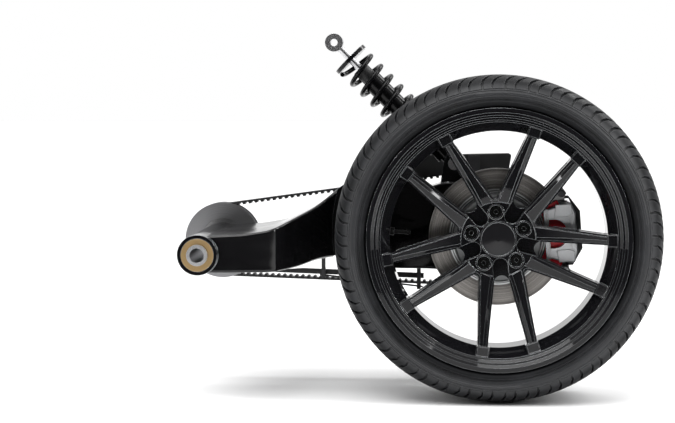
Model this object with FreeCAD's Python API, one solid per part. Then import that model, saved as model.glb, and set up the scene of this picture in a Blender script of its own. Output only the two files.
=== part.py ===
"""Rear wheel and swing arm assembly of a three-wheeled car.

Millimetres. The origin lies on the axis of the pivot bore, in the wheel's middle plane.
+X points to the rear, -Y to the outer side that the wheel's face looks at, +Z up.
Every wheel piece is drawn about the Y axis and then carried to the axle.
"""

import FreeCAD
import Part
import math
import os

Vec = FreeCAD.Vector

# Layout: where the axle lies from the pivot
axle_x = 620.0
axle_z = 32.0
overrun = 5.0
seat_gap = 0.3
running_gap = 0.05
full_turn = 360.0
cubic_cm = 1000.0

# Rim: a one-piece casting, most of its radii counted from the bead seat
rim_seat_radius = 254.0
rim_half_width = 127.0
rim_flange_height = 17.5
rim_flange_thickness = 9.0
rim_seat_width = 27.0
rim_seat_drop = 1.5
rim_lip_rise = 8.0
rim_lip_bevel = 5.5
rim_land_width = 4.5
rim_second_bevel = 5.0
rim_cone_drop = 11.0
rim_waist_drop = 29.5
rim_waist_depth = 42.0
rim_wall = 7.0
rim_well_end_y = -15.0
rim_back_slope_drop = 18.0
rim_back_slope_y = 105.0
rim_back_lip_rise = 9.0
rim_back_land_drop = 7.0
rim_back_land_depth = 14.0

# Tyre, 255 mm wide on a 20 inch rim
tyre_height = 87.0
tyre_width = 262.0
tyre_outer_shares = ((0.33, 1.0), (0.71, 1.0), (1.0, 0.69))
tyre_inner_shares = ((0.78, 0.80), (0.0, 0.80))
tyre_bead_height = 17.5

# Spokes: ten, in five pairs that open outward from the lug holes
hub_face_y = -82.0
hub_back_y = -48.0
hub_pad_radius = 77.0
hub_pad_step = 3.0
spoke_root_radius = 70.0
hub_back_radius = 80.0
spoke_tip_drop = 18.0
spoke_tip_face_y = -110.0
spoke_tip_rise = 3.5
spoke_tip_width = 27.0
spoke_tip_length = 15.0
spoke_tip_back_y = -90.0
spoke_tip_angle = 23.1
spoke_tip_bevel = 2.0
spoke_back_root_radius = 92.0
spoke_back_root_y = -50.0
spoke_back_tip_y = -60.0
spoke_edge = 3.5
spoke_pairs = 5
lug_angle = 23.1
pair_window_nose = 84.0
pair_window_nose_radius = 8.0
pair_window_half_angle = 30.2
gap_window_nose = 75.0
gap_window_nose_radius = 18.0
gap_window_half_angle = 10.5
window_draft = 3.0
window_front_y = -140.0
window_back_y = -30.0
tongue_start = 39.5
tongue_radius = 16.0
tongue_end = 100.0
tongue_floor_y = -64.0
pocket_depth = 4.0
pocket_inner_radius = 118.0
pocket_inner_y = -67.0
pocket_outer_radius = 212.0
pocket_outer_y = -83.0
pocket_half_width = 8.5
centre_bore_radius = 36.1
cap_pocket_radius = 38.0
cap_pocket_floor_y = -60.0

# Wheel fastening
lug_circle_radius = 57.15
lug_counterbore_radius = 13.5
lug_rim_width = 3.0
lug_rim_rise = 1.6
lug_seat_y = -66.0
stud_radius = 6.5
stud_hole_radius = 7.2
stud_end_y = -74.0
nut_radius = 10.5
nut_sides = 6
nut_end_y = -78.0
nut_socket_radius = 4.5
nut_socket_depth = 3.0
cap_radius = 37.5
cap_dome = 4.0
cap_face_y = -84.0
cap_wall = 3.0
cap_edge_width = 3.0
cap_edge_rise = 1.2
valve_angle = 176.0
valve_radius = 4.0
valve_length = 42.0
valve_foot_radius = 8.0
valve_foot_height = 8.0
valve_y = -70.0

# Hub, axle and bearings
hub_flange_radius = 74.0
hub_flange_thickness = 12.0
hat_flange_thickness = 7.0
hub_barrel_radius = 48.0
hub_barrel_end_y = 16.0
hub_nose_radius = 32.0
hub_spigot_radius = 36.0
hub_spigot_end_y = -54.0
axle_radius = 25.0
axle_tail = 5.0
axle_head_thickness = 5.0
axle_nut_radius = 34.0
axle_nut_thickness = 18.0
bearing_radius = 45.0
bearing_width = 22.0
bearing_near_y = 30.0
bearing_far_y = 216.0

# Brake disc
disc_radius = 144.5
disc_inner_radius = 102.0
disc_thickness = 22.0
disc_plate_thickness = 7.0
disc_vane_count = 30
disc_vane_width = 4.0
disc_vane_inset = 3.0
disc_groove_width = 2.5
disc_groove_depth = 1.2
hat_radius = 92.0
hat_wall = 7.0
hat_bevel = 4.0

# Brake pads and sliding caliper, drawn level and then turned up about the axle
caliper_tilt = 4.3
pad_friction = 8.0
pad_backing = 4.0
pad_gap = 0.5
pad_inner_radius = 106.0
pad_outer_radius = 143.0
pad_half_angle = 24.0
backing_inner_radius = 103.0
backing_outer_radius = 146.0
backing_half_angle = 28.0
caliper_half_height = 64.0
caliper_inner_reach = 102.0
caliper_finger_y = -40.0
caliper_bridge_gap = 6.0
caliper_bridge_wall = 14.5
caliper_outer_reach = disc_radius + caliper_bridge_gap + caliper_bridge_wall
caliper_housing_far_y = 64.0
finger_root_share = 0.78
finger_shoulder_inset = 17.0
finger_tip_inset = 8.0
finger_tip_share = 0.625
caliper_corner = 8.0
finger_bevel = 2.5
slot_half_height = 30.0
slot_nose_inset = 20.0
slot_corner = 27.0
housing_corner = 9.0
piston_radius = 21.0
piston_offset = 32.0
piston_reach = 125.0
piston_boss_radius = 27.0
piston_boss_height = 7.0
caliper_ear_thickness = 10.0
caliper_ear_radius = 11.0

# Caliper bracket and guide pins
bracket_half_height = 95.0
bracket_arm_height = 25.0
bracket_inner_reach = 118.0
bracket_inset = 15.0
bracket_slant = 8.0
bracket_plate_y = 30.0
bracket_plate_thickness = 12.0
bracket_front_y = -24.0
bracket_piston_gap = 1.5
bracket_hoop_gap = 3.5
bracket_hoop_width = 11.0
bracket_neck_gap = 4.0
bracket_neck_height = 6.0
bracket_collar_width = 12.0
guide_pin_radius = 6.0
guide_pin_inset = 26.0
guide_pin_head_radius = 9.0
guide_pin_head_height = 6.0

# Hub carrier, turned off centre so that turning it in its clamp sets the belt's tension
carrier_nose_radius = 64.0
carrier_nose_y = 22.0
carrier_clamp_radius = 76.0
carrier_offset = 10.0
carrier_start_y = 150.0
carrier_end_y = 244.0

# Swing arm: a cross beam behind the pivot and one leg on the far side of the wheel
arm_left_y = -118.0
arm_near_y = 150.0
arm_far_y = 246.0
arm_height = 140.0
arm_knee_x = 158.0
arm_leg_x = 285.0
arm_knee_radius = 32.0
arm_leg_radius = 24.0
arm_edge = 5.0
arm_start_share = 0.02
arm_end_share = 0.984
arm_round_share = 0.3
arm_top_shares = (
    (0.153, 0.30), (0.245, 0.37), (0.371, 0.64), (0.456, 0.95), (0.535, 1.13),
    (0.645, 1.19), (0.71, 1.06), (0.763, 0.92), (0.815, 0.99), (0.88, 1.0),
)
arm_low_shares = (
    (0.774, -0.371), (0.637, -0.371), (0.532, -0.286), (0.432, -0.165),
    (0.374, -0.171), (0.318, -0.236), (0.242, -0.257), (0.097, -0.27),
)
arm_start_shares = ((arm_start_share, -0.27), (arm_start_share, 0.27))
arm_end_shares = ((arm_end_share, 0.86), (arm_end_share, -0.45))
arm_pocket_shares = (
    ((0.275, -0.09), (0.40, -0.02), (0.40, 0.56), (0.275, 0.27)),
    ((0.427, 0.0), (0.53, -0.10), (0.53, 0.95), (0.427, 0.66)),
    ((0.557, -0.13), (0.66, -0.20), (0.66, 1.0), (0.557, 0.98)),
    ((0.687, -0.21), (0.79, -0.20), (0.765, 0.72), (0.687, 0.88)),
)
arm_pocket_depth = 34.0
arm_pocket_corner = 9.0
tyre_clearance = 18.0
pivot_tube_radius = 42.0
pivot_tube_bore = 34.0
pivot_left_y = -132.0
pivot_right_y = 256.0
clamp_ring_radius = 102.0
clamp_slot = 5.0
clamp_lug_reach = 136.0
clamp_lug_half_height = 26.0
clamp_lug_inset = 12.0
clamp_lug_corner = 8.0
clamp_bolt_radius = 6.0
clamp_bolt_reach = 120.0
clamp_bolt_places_share = (0.25, 0.75)
clamp_head_radius = 9.0
clamp_head_height = 8.0

# Pivot bushes and sleeve
bush_length = 70.0
sleeve_radius = 22.0
sleeve_bore = 15.0
sleeve_left_y = -138.0
sleeve_right_y = 330.0

# Toothed belt and pulleys
belt_pitch = 14.0
rear_teeth = 60
front_teeth = 36
belt_near_y = 274.0
belt_width = 28.0
belt_back = 2.5
belt_web = 1.5
tooth_height = 4.2
tooth_root_share = 0.56
tooth_tip_share = 0.36
belt_mesh_gap = 0.5
pulley_flange_thickness = 3.0
pulley_flange_rise = 6.0
pulley_side_gap = 2.0
pulley_rim_depth = 14.0
pulley_hub_radius = 42.0
pulley_web_thickness = 12.0
pulley_window_count = 5
pulley_window_margin = 10.0
pulley_window_share = 0.62
pulley_start_y = belt_near_y - pulley_side_gap - pulley_flange_thickness
pulley_end_y = belt_near_y + belt_width + pulley_side_gap + pulley_flange_thickness

# Front pulley's bearing on the pivot housing
housing_radius = 34.0
pulley_bearing_radius = 50.0
coupling_radius = 66.0
coupling_thickness = 14.0
coupling_bolts = 6
coupling_bolt_circle = 57.0
coupling_bolt_radius = 5.2

# Belt guards and their brackets
guard_wall = 3.0
guard_near_y = 262.0
guard_far_y = 318.0
guard_clearance = 6.0
guard_start_x = 385.0
guard_end_x = 654.0
guard_top_z = 194.2
guard_end_rise = 6.0
guard_skirt_start = 3.0
guard_skirt_end = 14.0
guard_end_lean = 6.0
guard_corner = 6.0
guard_boss_radius = 8.0
guard_boss_x = 402.0
guard_boss_rise = 13.0
guard_tab_x = 575.0
guard_tab_width = 26.0
guard_tab_low_z = 95.0
lower_guard_start_x = 100.0
lower_guard_slope_x = 185.0
lower_guard_end_x = 462.0
lower_guard_height = 12.0
lower_guard_lift = 6.0
clip_width = 9.0
clip_places_x = (234.0, 451.0)
clip_foot_height = 34.0
clip_foot_thickness = 4.0
clip_margin = 4.0
rail_radius = 2.0
rail_start_z = -78.0
rail_end_z = -102.0
rail_y = 256.0
rail_overhang = 9.0

# Shock absorber with its coil spring
shock_y = 200.0
shock_low_x = 530.0
shock_low_z = 180.0
shock_high_x = 262.0
shock_high_z = 448.0
shock_eye_radius = 20.0
shock_eye_width = 34.0
shock_eye_bore = 8.1
shock_bolt_radius = 8.0
shock_head_radius = 14.0
shock_head_height = 8.0
shock_body_radius = 23.0
shock_neck_radius = 16.0
shock_neck_gap = 2.0
shock_rod_radius = 8.0
spring_radius = 42.5
spring_wire_radius = 5.25
spring_wire_sides = 8
spring_turns = 7.5
spring_low = 72.0
spring_high = 322.0
seat_thickness = 9.0
seat_collar_length = 22.0
seat_collar_gap = 1.5
bump_stop_radius = 18.0
bump_stop_length = 36.0
bump_stop_travel = 24.0
shock_body_length = spring_high - bump_stop_travel - bump_stop_length
clevis_ear = 12.0
clevis_gap = 1.0
clevis_radius = 24.0
clevis_foot = 46.0


origin = Vec(0, 0, 0)
axle = Vec(axle_x, 0, axle_z)
across = Vec(0, 1, 0)
spin = Vec(0, -1, 0)
upward = Vec(0, 0, 1)


def rounded_wire(points, radii):
    """Closed wire through the points, each corner an arc of its radius or sharp at zero."""
    count = len(points)
    corners = []
    for index, corner in enumerate(points):
        radius = radii[index]
        if not radius:
            corners.append((corner, corner, corner))
            continue
        back = (points[index - 1] - corner).normalize()
        ahead = (points[(index + 1) % count] - corner).normalize()
        half = back.getAngle(ahead) / 2
        reach = radius / math.tan(half)
        middle = (back + ahead).normalize()
        apex = corner + middle * (radius / math.sin(half) - radius)
        corners.append((corner + back * reach, apex, corner + ahead * reach))
    edges = []
    for index, (start, apex, end) in enumerate(corners):
        if radii[index]:
            edges.append(Part.Arc(start, apex, end).toShape())
        following = corners[(index + 1) % count][0]
        edges.append(Part.LineSegment(end, following).toShape())
    return Part.Wire(edges)


def easing(points, share, sharp):
    """Corner radii whose arcs take up a share of the shorter run beside them, zero at sharp points."""
    radii = []
    count = len(points)
    for index, (x, y) in enumerate(points):
        back = Vec(points[index - 1][0] - x, points[index - 1][1] - y, 0)
        ahead = Vec(points[(index + 1) % count][0] - x, points[(index + 1) % count][1] - y, 0)
        half = back.getAngle(ahead) / 2
        reach = share * min(back.Length, ahead.Length)
        radii.append(0 if points[index] in sharp else reach * math.tan(half))
    return radii


def side_prism(points, radii, start_y, end_y):
    """Outline of (x, z) points pushed across the part."""
    corners = [Vec(x, start_y, z) for x, z in points]
    return Part.Face(rounded_wire(corners, radii)).extrude(Vec(0, end_y - start_y, 0))


def plan_prism(points, radii, start_z, end_z):
    """Outline of (x, y) points pushed upward."""
    corners = [Vec(x, y, start_z) for x, y in points]
    return Part.Face(rounded_wire(corners, radii)).extrude(Vec(0, 0, end_z - start_z))


def turned(points):
    """Outline of (radius, y) points turned about the Y axis."""
    corners = [Vec(radius, y, 0) for radius, y in points]
    return Part.Face(rounded_wire(corners, [0] * len(points))).revolve(origin, across, full_turn)


def rod(radius, start_y, end_y, x=0, z=0):
    return Part.makeCylinder(radius, end_y - start_y, Vec(x, start_y, z), across)


def tube(radius, bore, start_y, end_y, x=0, z=0):
    inner = rod(bore, start_y - overrun, end_y + overrun, x, z)
    return rod(radius, start_y, end_y, x, z).cut(inner)


def slab(low, high):
    """Box between two corners given as (x, y, z)."""
    return Part.makeBox(high[0] - low[0], high[1] - low[1], high[2] - low[2], Vec(*low))


def polar(radius, angle):
    """Point at an angle, anticlockwise as seen from the outer side."""
    return (radius * math.cos(math.radians(angle)), radius * math.sin(math.radians(angle)))


def spun(shape, angle):
    copy = shape.copy()
    copy.rotate(origin, spin, angle)
    return copy


def ring_of(shape, count, first=0):
    """Copies of a shape spread evenly about the Y axis."""
    return [spun(shape, first + full_turn * index / count) for index in range(count)]


def on_axle(shape):
    return shape.translated(axle)


def save(name, shape):
    shape.exportStep(os.path.join("parts", name + ".step"))


# Tyre


def make_tyre():
    base = rim_seat_radius + seat_gap
    half = tyre_width / 2
    heel_y = rim_half_width - rim_flange_thickness - seat_gap
    outer = [(base, heel_y), (base + tyre_bead_height, heel_y)]
    outer += [(base + rise * tyre_height, side * half) for rise, side in tyre_outer_shares]
    inner = [(base + rise * tyre_height, side * half) for rise, side in tyre_inner_shares]
    section = outer + [(radius, -y) for radius, y in outer[::-1]]
    section += [(radius, -y) for radius, y in inner[::-1]] + inner
    return on_axle(turned(section))


# Rim


def rim_barrel():
    lip = -rim_half_width
    back = rim_half_width
    flange = rim_seat_radius + rim_flange_height
    seat_start = lip + rim_flange_thickness
    seat_end = seat_start + rim_seat_width
    waist_y = lip + rim_waist_depth
    waist = rim_seat_radius - rim_waist_drop
    first_land = rim_seat_radius + rim_lip_rise - rim_lip_bevel
    second_land = first_land - rim_land_width - rim_second_bevel
    points = [
        (rim_seat_radius + rim_lip_rise, lip),
        (flange, lip),
        (flange, seat_start),
        (rim_seat_radius, seat_start),
        (rim_seat_radius - rim_seat_drop, seat_end),
        (waist + rim_wall, waist_y),
        (waist + rim_wall, rim_well_end_y),
        (rim_seat_radius - rim_seat_drop, -seat_end),
        (rim_seat_radius, -seat_start),
        (flange, -seat_start),
        (flange, back),
        (rim_seat_radius + rim_back_lip_rise, back),
        (rim_seat_radius - rim_back_land_drop, back - rim_back_land_depth),
        (rim_seat_radius - rim_back_slope_drop, rim_back_slope_y),
        (waist, rim_well_end_y),
        (waist, waist_y),
        (rim_seat_radius - rim_cone_drop, lip + rim_lip_bevel + rim_second_bevel),
        (second_land, lip + rim_lip_bevel + rim_second_bevel),
        (first_land - rim_land_width, lip + rim_lip_bevel),
        (first_land, lip + rim_lip_bevel),
    ]
    return turned(points)


def disc_reach():
    """Radius at which the spokes' disc ends inside the barrel's wall."""
    return rim_seat_radius - rim_cone_drop + rim_wall / 2


def wedge_wire(nose, nose_radius, half_angle, shrink, y):
    """Round-nosed wedge that opens outward along +X, drawn in by the shrink."""
    sine = math.sin(math.radians(half_angle))
    radius = nose_radius - shrink
    apex = nose + shrink - (radius / sine - radius)
    end = disc_reach() + overrun
    half = (end - apex) * math.tan(math.radians(half_angle))
    corners = [Vec(apex, y, 0), Vec(end, y, half), Vec(end, y, -half)]
    return rounded_wire(corners, (radius, 0, 0))


def window(nose, nose_radius, half_angle):
    front = wedge_wire(nose, nose_radius, half_angle, 0, window_front_y)
    back = wedge_wire(nose, nose_radius, half_angle, window_draft, window_back_y)
    return Part.makeLoft([front, back], True, True)


def wall_pockets(nose, nose_radius, half_angle):
    """Shallow pockets that leave the walls of a window as the web between two flanges."""
    band = turned([
        (pocket_inner_radius, pocket_inner_y - pocket_half_width),
        (pocket_outer_radius, pocket_outer_y - pocket_half_width),
        (pocket_outer_radius, pocket_outer_y + pocket_half_width),
        (pocket_inner_radius, pocket_inner_y + pocket_half_width),
    ])
    wire = wedge_wire(nose, nose_radius, half_angle, -pocket_depth, window_front_y)
    wedge = Part.Face(wire).extrude(Vec(0, window_back_y - window_front_y, 0))
    return band.common(wedge)


def spoke_disc():
    lip = -rim_half_width
    waist = rim_seat_radius - rim_waist_drop + rim_wall / 2
    tip = rim_seat_radius - spoke_tip_drop
    points = [
        (0, hub_face_y),
        (spoke_root_radius, hub_face_y),
        (tip, spoke_tip_face_y),
        (disc_reach(), lip + rim_lip_bevel + rim_second_bevel),
        (waist, lip + rim_waist_depth),
        (waist, spoke_back_tip_y),
        (spoke_back_root_radius, spoke_back_root_y),
        (hub_back_radius, hub_back_y),
        (0, hub_back_y),
    ]
    return turned(points)


def face_edges(disc):
    """Edges along which the windows' walls meet the spokes' sloping front face."""
    tip = rim_seat_radius - spoke_tip_drop
    slope = (spoke_tip_face_y - hub_face_y) / (tip - spoke_root_radius)
    edges = []
    for edge in disc.Edges:
        ends = [vertex.Point for vertex in edge.Vertexes]
        rises = [slope * (math.hypot(place.x, place.z) - spoke_root_radius) for place in ends]
        offsets = [abs(place.y - hub_face_y - rise) for place, rise in zip(ends, rises)]
        on_face = max(offsets) < seat_gap
        if on_face and not isinstance(edge.Curve, (Part.Line, Part.Circle)):
            edges.append(edge)
    return edges


def spoke_tip():
    """Block at a spoke's outer end, a little wider than the spoke and proud of its face."""
    half = spoke_tip_width / 2
    start = rim_seat_radius - spoke_tip_drop - spoke_tip_length
    block = slab((start, spoke_tip_face_y - spoke_tip_rise, -half), (disc_reach(), spoke_tip_back_y, half))
    return block.makeChamfer(spoke_tip_bevel, block.Edges)


def tongue_slot():
    """Round-ended slot from the cap's edge outward, between two pairs of spokes."""
    centre = tongue_start + tongue_radius
    slot = rod(tongue_radius, window_front_y, tongue_floor_y, centre)
    slot = slot.fuse(rod(tongue_radius, window_front_y, tongue_floor_y, tongue_end))
    low = (centre, window_front_y, -tongue_radius)
    high = (tongue_end, tongue_floor_y, tongue_radius)
    return slot.fuse(slab(low, high)).removeSplitter()


def make_rim():
    half_step = full_turn / spoke_pairs / 2
    disc = spoke_disc()
    shapes = (
        (pair_window_nose, pair_window_nose_radius, pair_window_half_angle, lug_angle),
        (gap_window_nose, gap_window_nose_radius, gap_window_half_angle, lug_angle + half_step),
    )
    for nose, nose_radius, half_angle, first in shapes:
        disc = disc.cut(ring_of(window(nose, nose_radius, half_angle), spoke_pairs, first))
    disc = disc.makeChamfer(spoke_edge, face_edges(disc))
    cutters = []
    for nose, nose_radius, half_angle, first in shapes:
        cutters += ring_of(wall_pockets(nose, nose_radius, half_angle), spoke_pairs, first)
    cutters += ring_of(tongue_slot(), spoke_pairs, lug_angle + half_step)
    disc = disc.cut(cutters)
    for angle in (-spoke_tip_angle, spoke_tip_angle):
        disc = disc.fuse(ring_of(spoke_tip(), spoke_pairs, lug_angle + angle))
    pad_y = hub_face_y + hub_pad_step
    disc = disc.cut(rod(hub_pad_radius, window_front_y, pad_y))
    island = rod(lug_counterbore_radius + lug_rim_width, pad_y - lug_rim_rise, lug_seat_y, lug_circle_radius)
    disc = disc.fuse(ring_of(island, spoke_pairs, lug_angle))
    counterbore = rod(lug_counterbore_radius, window_front_y, lug_seat_y, lug_circle_radius)
    stud_hole = rod(stud_hole_radius, window_front_y, window_back_y, lug_circle_radius)
    cutters = ring_of(counterbore.fuse(stud_hole), spoke_pairs, lug_angle)
    cutters.append(rod(cap_pocket_radius, window_front_y, cap_pocket_floor_y))
    cutters.append(rod(centre_bore_radius, window_front_y, window_back_y))
    disc = disc.cut(cutters)
    return on_axle(rim_barrel().fuse(disc).removeSplitter())


def make_nuts():
    nut = rod(nut_radius, nut_end_y, lug_seat_y, lug_circle_radius)
    bore = rod(stud_radius + running_gap, stud_end_y - seat_gap, lug_seat_y + overrun, lug_circle_radius)
    socket = rod(nut_socket_radius, nut_end_y - overrun, nut_end_y + nut_socket_depth, lug_circle_radius)
    nut = nut.cut(bore).cut(socket)
    return on_axle(Part.makeCompound(ring_of(nut, spoke_pairs, lug_angle)))


def make_centre_cap():
    """Shallow domed cap, bare inside its raised edge."""
    inner = cap_radius - cap_wall
    edge_y = cap_face_y + cap_dome
    face = cap_radius - cap_edge_width
    points = [
        (0, cap_face_y),
        (face, edge_y - cap_edge_rise / 2),
        (face, edge_y - cap_edge_rise),
        (cap_radius, edge_y - cap_edge_rise / 2),
        (cap_radius, cap_pocket_floor_y - seat_gap),
        (inner, cap_pocket_floor_y - seat_gap),
        (inner, edge_y + cap_wall),
        (0, edge_y + cap_wall),
    ]
    return on_axle(turned(points))


def make_valve():
    foot = Part.makeCylinder(valve_foot_radius, valve_foot_height, origin, Vec(-1, 0, 0))
    stem = Part.makeCylinder(valve_radius, valve_length, origin, Vec(-1, 0, 0))
    valve = foot.fuse(stem).removeSplitter()
    valve.translate(Vec(rim_seat_radius - rim_waist_drop - seat_gap, valve_y, 0))
    return on_axle(spun(valve, valve_angle))


# Hub, axle and bearings


def make_hub():
    flange_y = hub_back_y + hat_flange_thickness
    bore = axle_radius + running_gap
    points = [
        (bore, hub_spigot_end_y),
        (hub_spigot_radius, hub_spigot_end_y),
        (hub_spigot_radius, flange_y),
        (hub_flange_radius, flange_y),
        (hub_flange_radius, flange_y + hub_flange_thickness),
        (hub_barrel_radius, flange_y + hub_flange_thickness),
        (hub_barrel_radius, hub_barrel_end_y),
        (hub_nose_radius, hub_barrel_end_y),
        (hub_nose_radius, bearing_near_y - seat_gap),
        (bore, bearing_near_y - seat_gap),
    ]
    hub = turned(points)
    stud = rod(stud_radius, stud_end_y, flange_y + hub_flange_thickness / 2, lug_circle_radius)
    return on_axle(hub.fuse(ring_of(stud, spoke_pairs, lug_angle)))


def make_axle():
    head_y = hub_spigot_end_y - seat_gap
    shaft = rod(axle_radius, head_y, pulley_end_y + seat_gap + axle_nut_thickness + axle_tail)
    head = rod(axle_nut_radius, head_y - axle_head_thickness, head_y)
    return on_axle(shaft.fuse(head).removeSplitter())


def hexagon(radius, start_y, end_y):
    points = [polar(radius, full_turn * index / nut_sides) for index in range(nut_sides)]
    return side_prism(points, [0] * len(points), start_y, end_y)


def make_axle_nut():
    start = pulley_end_y + seat_gap
    end = start + axle_nut_thickness
    bore = rod(axle_radius + running_gap, start - overrun, end + overrun)
    return on_axle(hexagon(axle_nut_radius, start, end).cut(bore))


def make_wheel_bearings():
    bore = axle_radius + running_gap
    near = tube(bearing_radius, bore, bearing_near_y, bearing_near_y + bearing_width)
    far = tube(bearing_radius, bore, bearing_far_y, bearing_far_y + bearing_width)
    return on_axle(Part.makeCompound([near, far]))


def make_hub_carrier():
    nose = rod(carrier_nose_radius, carrier_nose_y, carrier_start_y + overrun)
    body = rod(carrier_clamp_radius, carrier_start_y, carrier_end_y, -carrier_offset)
    bore = rod(bearing_radius + running_gap, carrier_nose_y - overrun, carrier_end_y + overrun)
    return on_axle(nose.fuse(body).cut(bore).removeSplitter())


# Brake disc


def make_disc_ring():
    """Two friction plates joined by straight vanes, with a groove beside the hat."""
    near = -disc_thickness / 2
    far = disc_thickness / 2
    ring = tube(disc_radius, disc_inner_radius, near, near + disc_plate_thickness)
    ring = ring.fuse(tube(disc_radius, disc_inner_radius, far - disc_plate_thickness, far))
    half = disc_vane_width / 2
    start = disc_inner_radius + disc_vane_inset
    end = disc_radius - disc_vane_inset
    vane = slab((start, near + disc_plate_thickness, -half), (end, far - disc_plate_thickness, half))
    ring = ring.fuse(ring_of(vane, disc_vane_count))
    inner = disc_inner_radius + disc_groove_width
    outer = inner + disc_groove_width
    groove = tube(outer, inner, near - disc_groove_depth, near + disc_groove_depth)
    return on_axle(ring.cut(groove))


def make_disc_hat():
    inner = hat_radius - hat_wall
    flange_y = hub_back_y + hat_flange_thickness
    near = -disc_thickness / 2
    rim_y = disc_plate_thickness + near
    bore = hub_spigot_radius + running_gap
    points = [
        (bore, hub_back_y),
        (hat_radius - hat_bevel, hub_back_y),
        (hat_radius, hub_back_y + hat_bevel),
        (hat_radius, near),
        (disc_inner_radius - seat_gap, near),
        (disc_inner_radius - seat_gap, rim_y),
        (inner, rim_y),
        (inner, flange_y),
        (bore, flange_y),
    ]
    hole = rod(stud_hole_radius, window_front_y, 0, lug_circle_radius)
    return on_axle(turned(points).cut(ring_of(hole, spoke_pairs, lug_angle)))


# Brake pads and caliper


def at_caliper(shape):
    """Carries a piece drawn level, about the axle, to the caliper's place."""
    return on_axle(spun(shape, caliper_tilt))


def pad_plates(inner, outer, half_angle, start, end):
    """Pair of ring sectors, one each side of the disc."""
    angles = (-half_angle, 0, half_angle)
    arc = [Vec(x, start, z) for x, z in (polar(outer, angle) for angle in angles)]
    hollow = [Vec(x, start, z) for x, z in (polar(inner, angle) for angle in angles)]
    edges = [
        Part.Arc(*arc).toShape(),
        Part.LineSegment(arc[-1], hollow[-1]).toShape(),
        Part.Arc(*hollow[::-1]).toShape(),
        Part.LineSegment(hollow[0], arc[0]).toShape(),
    ]
    far = Part.Face(Part.Wire(edges)).extrude(Vec(0, end - start, 0))
    return at_caliper(Part.makeCompound([far.mirror(origin, across), far]))


def lining_start():
    return disc_thickness / 2 + pad_gap


def backing_start():
    return lining_start() + pad_friction


def make_pad_linings():
    start = lining_start()
    return pad_plates(pad_inner_radius, pad_outer_radius, pad_half_angle, start, start + pad_friction)


def make_pad_backings():
    start = backing_start()
    end = start + pad_backing
    return pad_plates(backing_inner_radius, backing_outer_radius, backing_half_angle, start, end)


def caliper_outline():
    """Upper half of the outline that the caliper shows from the wheel's side, then its mirror."""
    upper = [
        (caliper_inner_reach, caliper_half_height * finger_root_share),
        (caliper_outer_reach - finger_shoulder_inset, caliper_half_height),
        (caliper_outer_reach - finger_tip_inset, caliper_half_height),
        (caliper_outer_reach, caliper_half_height * finger_tip_share),
    ]
    return upper + [(x, -z) for x, z in upper[::-1]]


def make_caliper_body():
    """Bridge over the disc with two outer fingers and a cylinder housing on the inner side."""
    finger_far = -(backing_start() + pad_backing)
    housing_near = -finger_far
    inner = caliper_inner_reach
    outer = caliper_outer_reach
    bridge = disc_radius + caliper_bridge_gap
    points = [
        (inner, caliper_finger_y),
        (outer, caliper_finger_y),
        (outer, caliper_housing_far_y),
        (inner, caliper_housing_far_y),
        (inner, housing_near),
        (bridge, housing_near),
        (bridge, finger_far),
        (inner, finger_far),
    ]
    radii = (0, 0, housing_corner, housing_corner, 0, 0, 0, 0)
    section = plan_prism(points, radii, -caliper_half_height, caliper_half_height)
    outline = caliper_outline()
    radii = [caliper_corner] * len(outline)
    face_y = caliper_finger_y - overrun
    body = section.common(side_prism(outline, radii, face_y, caliper_housing_far_y + overrun))
    rims = [edge for edge in body.Edges if edge.BoundBox.YMax < caliper_finger_y + seat_gap]
    body = body.makeChamfer(finger_bevel, rims)
    nose = outer - slot_nose_inset
    corners = [
        (inner - overrun, slot_half_height),
        (nose, slot_half_height),
        (nose, -slot_half_height),
        (inner - overrun, -slot_half_height),
    ]
    slot = side_prism(corners, (0, slot_corner, slot_corner, 0), face_y, finger_far + overrun)
    body = body.cut(slot)
    far = caliper_housing_far_y
    boss_far = far + piston_boss_height
    for z in (-piston_offset, piston_offset):
        body = body.fuse(rod(piston_boss_radius, housing_near, boss_far, piston_reach, z))
    ear_start = far - caliper_ear_thickness
    ear_height = bracket_half_height - bracket_arm_height / 2
    for z in (-ear_height, ear_height):
        ear = rod(caliper_ear_radius, ear_start, far, guide_pin_reach(), z)
        low = (guide_pin_reach() - caliper_ear_radius, ear_start, min(z, 0))
        high = (guide_pin_reach() + caliper_ear_radius, far, max(z, 0))
        body = body.fuse(ear.fuse(slab(low, high)))
    bore = piston_radius + running_gap
    pin_bore = guide_pin_radius + running_gap
    for z in (-piston_offset, piston_offset):
        body = body.cut(rod(bore, 0, far - housing_corner, piston_reach, z))
    for z in (-ear_height, ear_height):
        body = body.cut(rod(pin_bore, ear_start - overrun, far + overrun, guide_pin_reach(), z))
    return at_caliper(body.removeSplitter())


def make_caliper_pistons():
    start = backing_start() + pad_backing
    end = caliper_housing_far_y - housing_corner - seat_gap
    places = (-piston_offset, piston_offset)
    pistons = [rod(piston_radius, start, end, piston_reach, z) for z in places]
    return at_caliper(Part.makeCompound(pistons))


def bracket_hoop(end):
    """Flat hoop behind the caliper that ties the bracket's two arms together."""
    neck_low = caliper_half_height + bracket_neck_gap
    neck_high = neck_low + bracket_neck_height
    tip = caliper_outer_reach - finger_tip_inset
    shoulder = caliper_half_height * finger_tip_share
    inner = caliper_outer_reach + bracket_hoop_gap
    start = end - bracket_slant
    above = [
        (start, neck_low),
        (start, neck_high),
        (tip, neck_high),
        (inner + bracket_hoop_width, shoulder),
    ]
    below = [(x, -z) for x, z in above[::-1]]
    inside = [(tip, -neck_low), (inner, -shoulder), (inner, shoulder), (tip, neck_low)]
    outline = above + below + inside
    far = bracket_plate_y + bracket_plate_thickness
    return side_prism(outline, [0] * len(outline), bracket_plate_y, far)


def guide_pin_reach():
    return caliper_outer_reach - guide_pin_inset


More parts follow.
